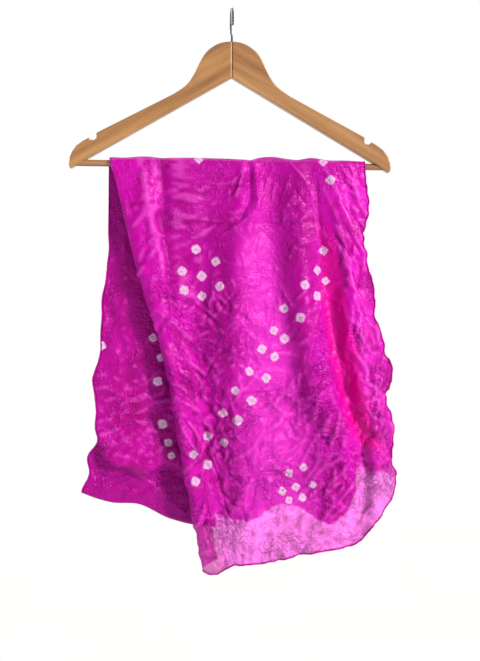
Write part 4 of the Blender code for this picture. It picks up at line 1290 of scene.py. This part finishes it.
def hang_back(silk, hem_silk):
    """The outer ply of the back, with dots of the same two groups as the front."""
    base = back_grid(*BACK_GRID)
    x, z = base[..., 0], base[..., 2]
    free = below_bar(z, 12, 40) * smooth((z - z[-1]) / 12)
    lift = eased(creased(BACK_LIFT, [], BACK_PATCHES, x, z))
    grid = base - normals(base) * (lift * free)[..., None]
    groups = seven_group(-95, -320) + seven_group(70, -600)
    groups += double_row(110, -300, -110, -560, 9)
    dots = nearest_places(grid[..., [0, 2]], groups)
    marks = {"dye_dot": dot_field(grid, dots), "crinkled": 0.6, "doubled": 1.0}
    piece = silk_shell("back_silk", grid, marks, silk)
    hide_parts("back_fall")
    side_hems("back", grid, hem_silk, 36)


def finish_hanger():
    """The wood and the wire keep their solids and get their finishes."""
    slant = math.atan2(ARM_FALL, ARM_REACH)
    finishes = {
        "left_arm": varnished_beech("varnished_beech_left", slant, *ARM_TONES),
        "right_arm": varnished_beech("varnished_beech_right", -slant, *ARM_TONES),
        "trouser_bar": varnished_beech("varnished_bar", 0.0, *BAR_TONES),
        "hook": drawn_steel("nickel_plated_wire"),
    }
    for node, material in finishes.items():
        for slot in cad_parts[node].material_slots:
            slot.material = material


def sun(name, towards, strength, softness, colour):
    """A distant lamp whose light comes from the given direction."""
    lamp = bpy.data.lights.new(name, "SUN")
    lamp.energy = strength
    lamp.angle = math.radians(softness)
    lamp.color = hex_colour(colour)[:3]
    light = bpy.data.objects.new(name, lamp)
    light.rotation_euler = Vector(towards).to_track_quat("Z", "Y").to_euler()
    bpy.context.scene.collection.objects.link(light)


def lay_floor():
    """A wide pale floor that isn't part of the stole."""
    corners = [(x * FLOOR_HALF, y * FLOOR_HALF, FLOOR_Z) for x, y in FLOOR_CORNERS]
    mesh = bpy.data.meshes.new("studio_floor")
    mesh.from_pydata(corners, [], [(0, 1, 2, 3)])
    mesh.materials.append(paper_floor("matt_floor"))
    floor = bpy.data.objects.new("studio_floor", mesh)
    bpy.context.scene.collection.objects.link(floor)


def light_room():
    """A pale room that is dimmer on the viewer's side, with a soft key lamp and a rim lamp."""
    world = bpy.data.worlds.new("pale_room")
    world.use_nodes = True
    tree = world.node_tree
    tree.nodes.clear()
    direction = add(tree, "ShaderNodeTexCoord").outputs["Generated"]
    depth = add(tree, "ShaderNodeSeparateXYZ", Vector=direction).outputs["Y"]
    brightness = add(
        tree, "ShaderNodeMapRange", EASED, Value=depth, From_Min=-0.5, From_Max=0.25, To_Min=0.3
    )
    room = add(tree, "ShaderNodeBackground", Color=hex_colour("#FFFFFF"), Strength=brightness)
    add(tree, "ShaderNodeOutputWorld", Surface=room)
    bpy.context.scene.world = world
    sun("key", (0.8, -0.78, 0.5), 4.2, 15.0, "#FFF8F2")
    sun("rim", (-0.7, 0.8, 0.4), 1.2, 30.0, "#F6F8FF")


def set_camera():
    """The photo's camera, upright and level, on the photo's own frame."""
    lens = bpy.data.cameras.new("photo_camera")
    lens.sensor_fit = "VERTICAL"
    lens.sensor_height = CAMERA_SENSOR
    lens.lens = CAMERA_LENS
    camera = bpy.data.objects.new("photo_camera", lens)
    back = Vector((-math.sin(CAMERA_YAW), -math.cos(CAMERA_YAW), 0.0)) * CAMERA_DISTANCE
    camera.location = CAMERA_TARGET + back
    camera.rotation_euler = (-back).to_track_quat("-Z", "Y").to_euler()
    bpy.context.scene.collection.objects.link(camera)
    bpy.context.scene.camera = camera
    bpy.context.scene.view_settings.view_transform = "Standard"


def main():
    set_camera()
    lay_floor()
    light_room()
    sheer = dyed_silk("sheer_dyed_silk", 0.78, *SHEER_TONES)
    lining = dyed_silk("sheer_silk_wrong_side", 0.2, *SHEER_TONES)
    backing = dyed_silk("backing_dyed_silk", 1.0, *DOUBLED_AND_SHADED_TONES)
    hem_silk = dyed_silk("rolled_silk_hem", 1.0, *HEM_TONES)
    hang_under(backing, hem_silk)
    hang_front(sheer, lining, hem_silk)
    hang_return(backing, hem_silk)
    hang_back(backing, hem_silk)
    finish_hanger()


main()
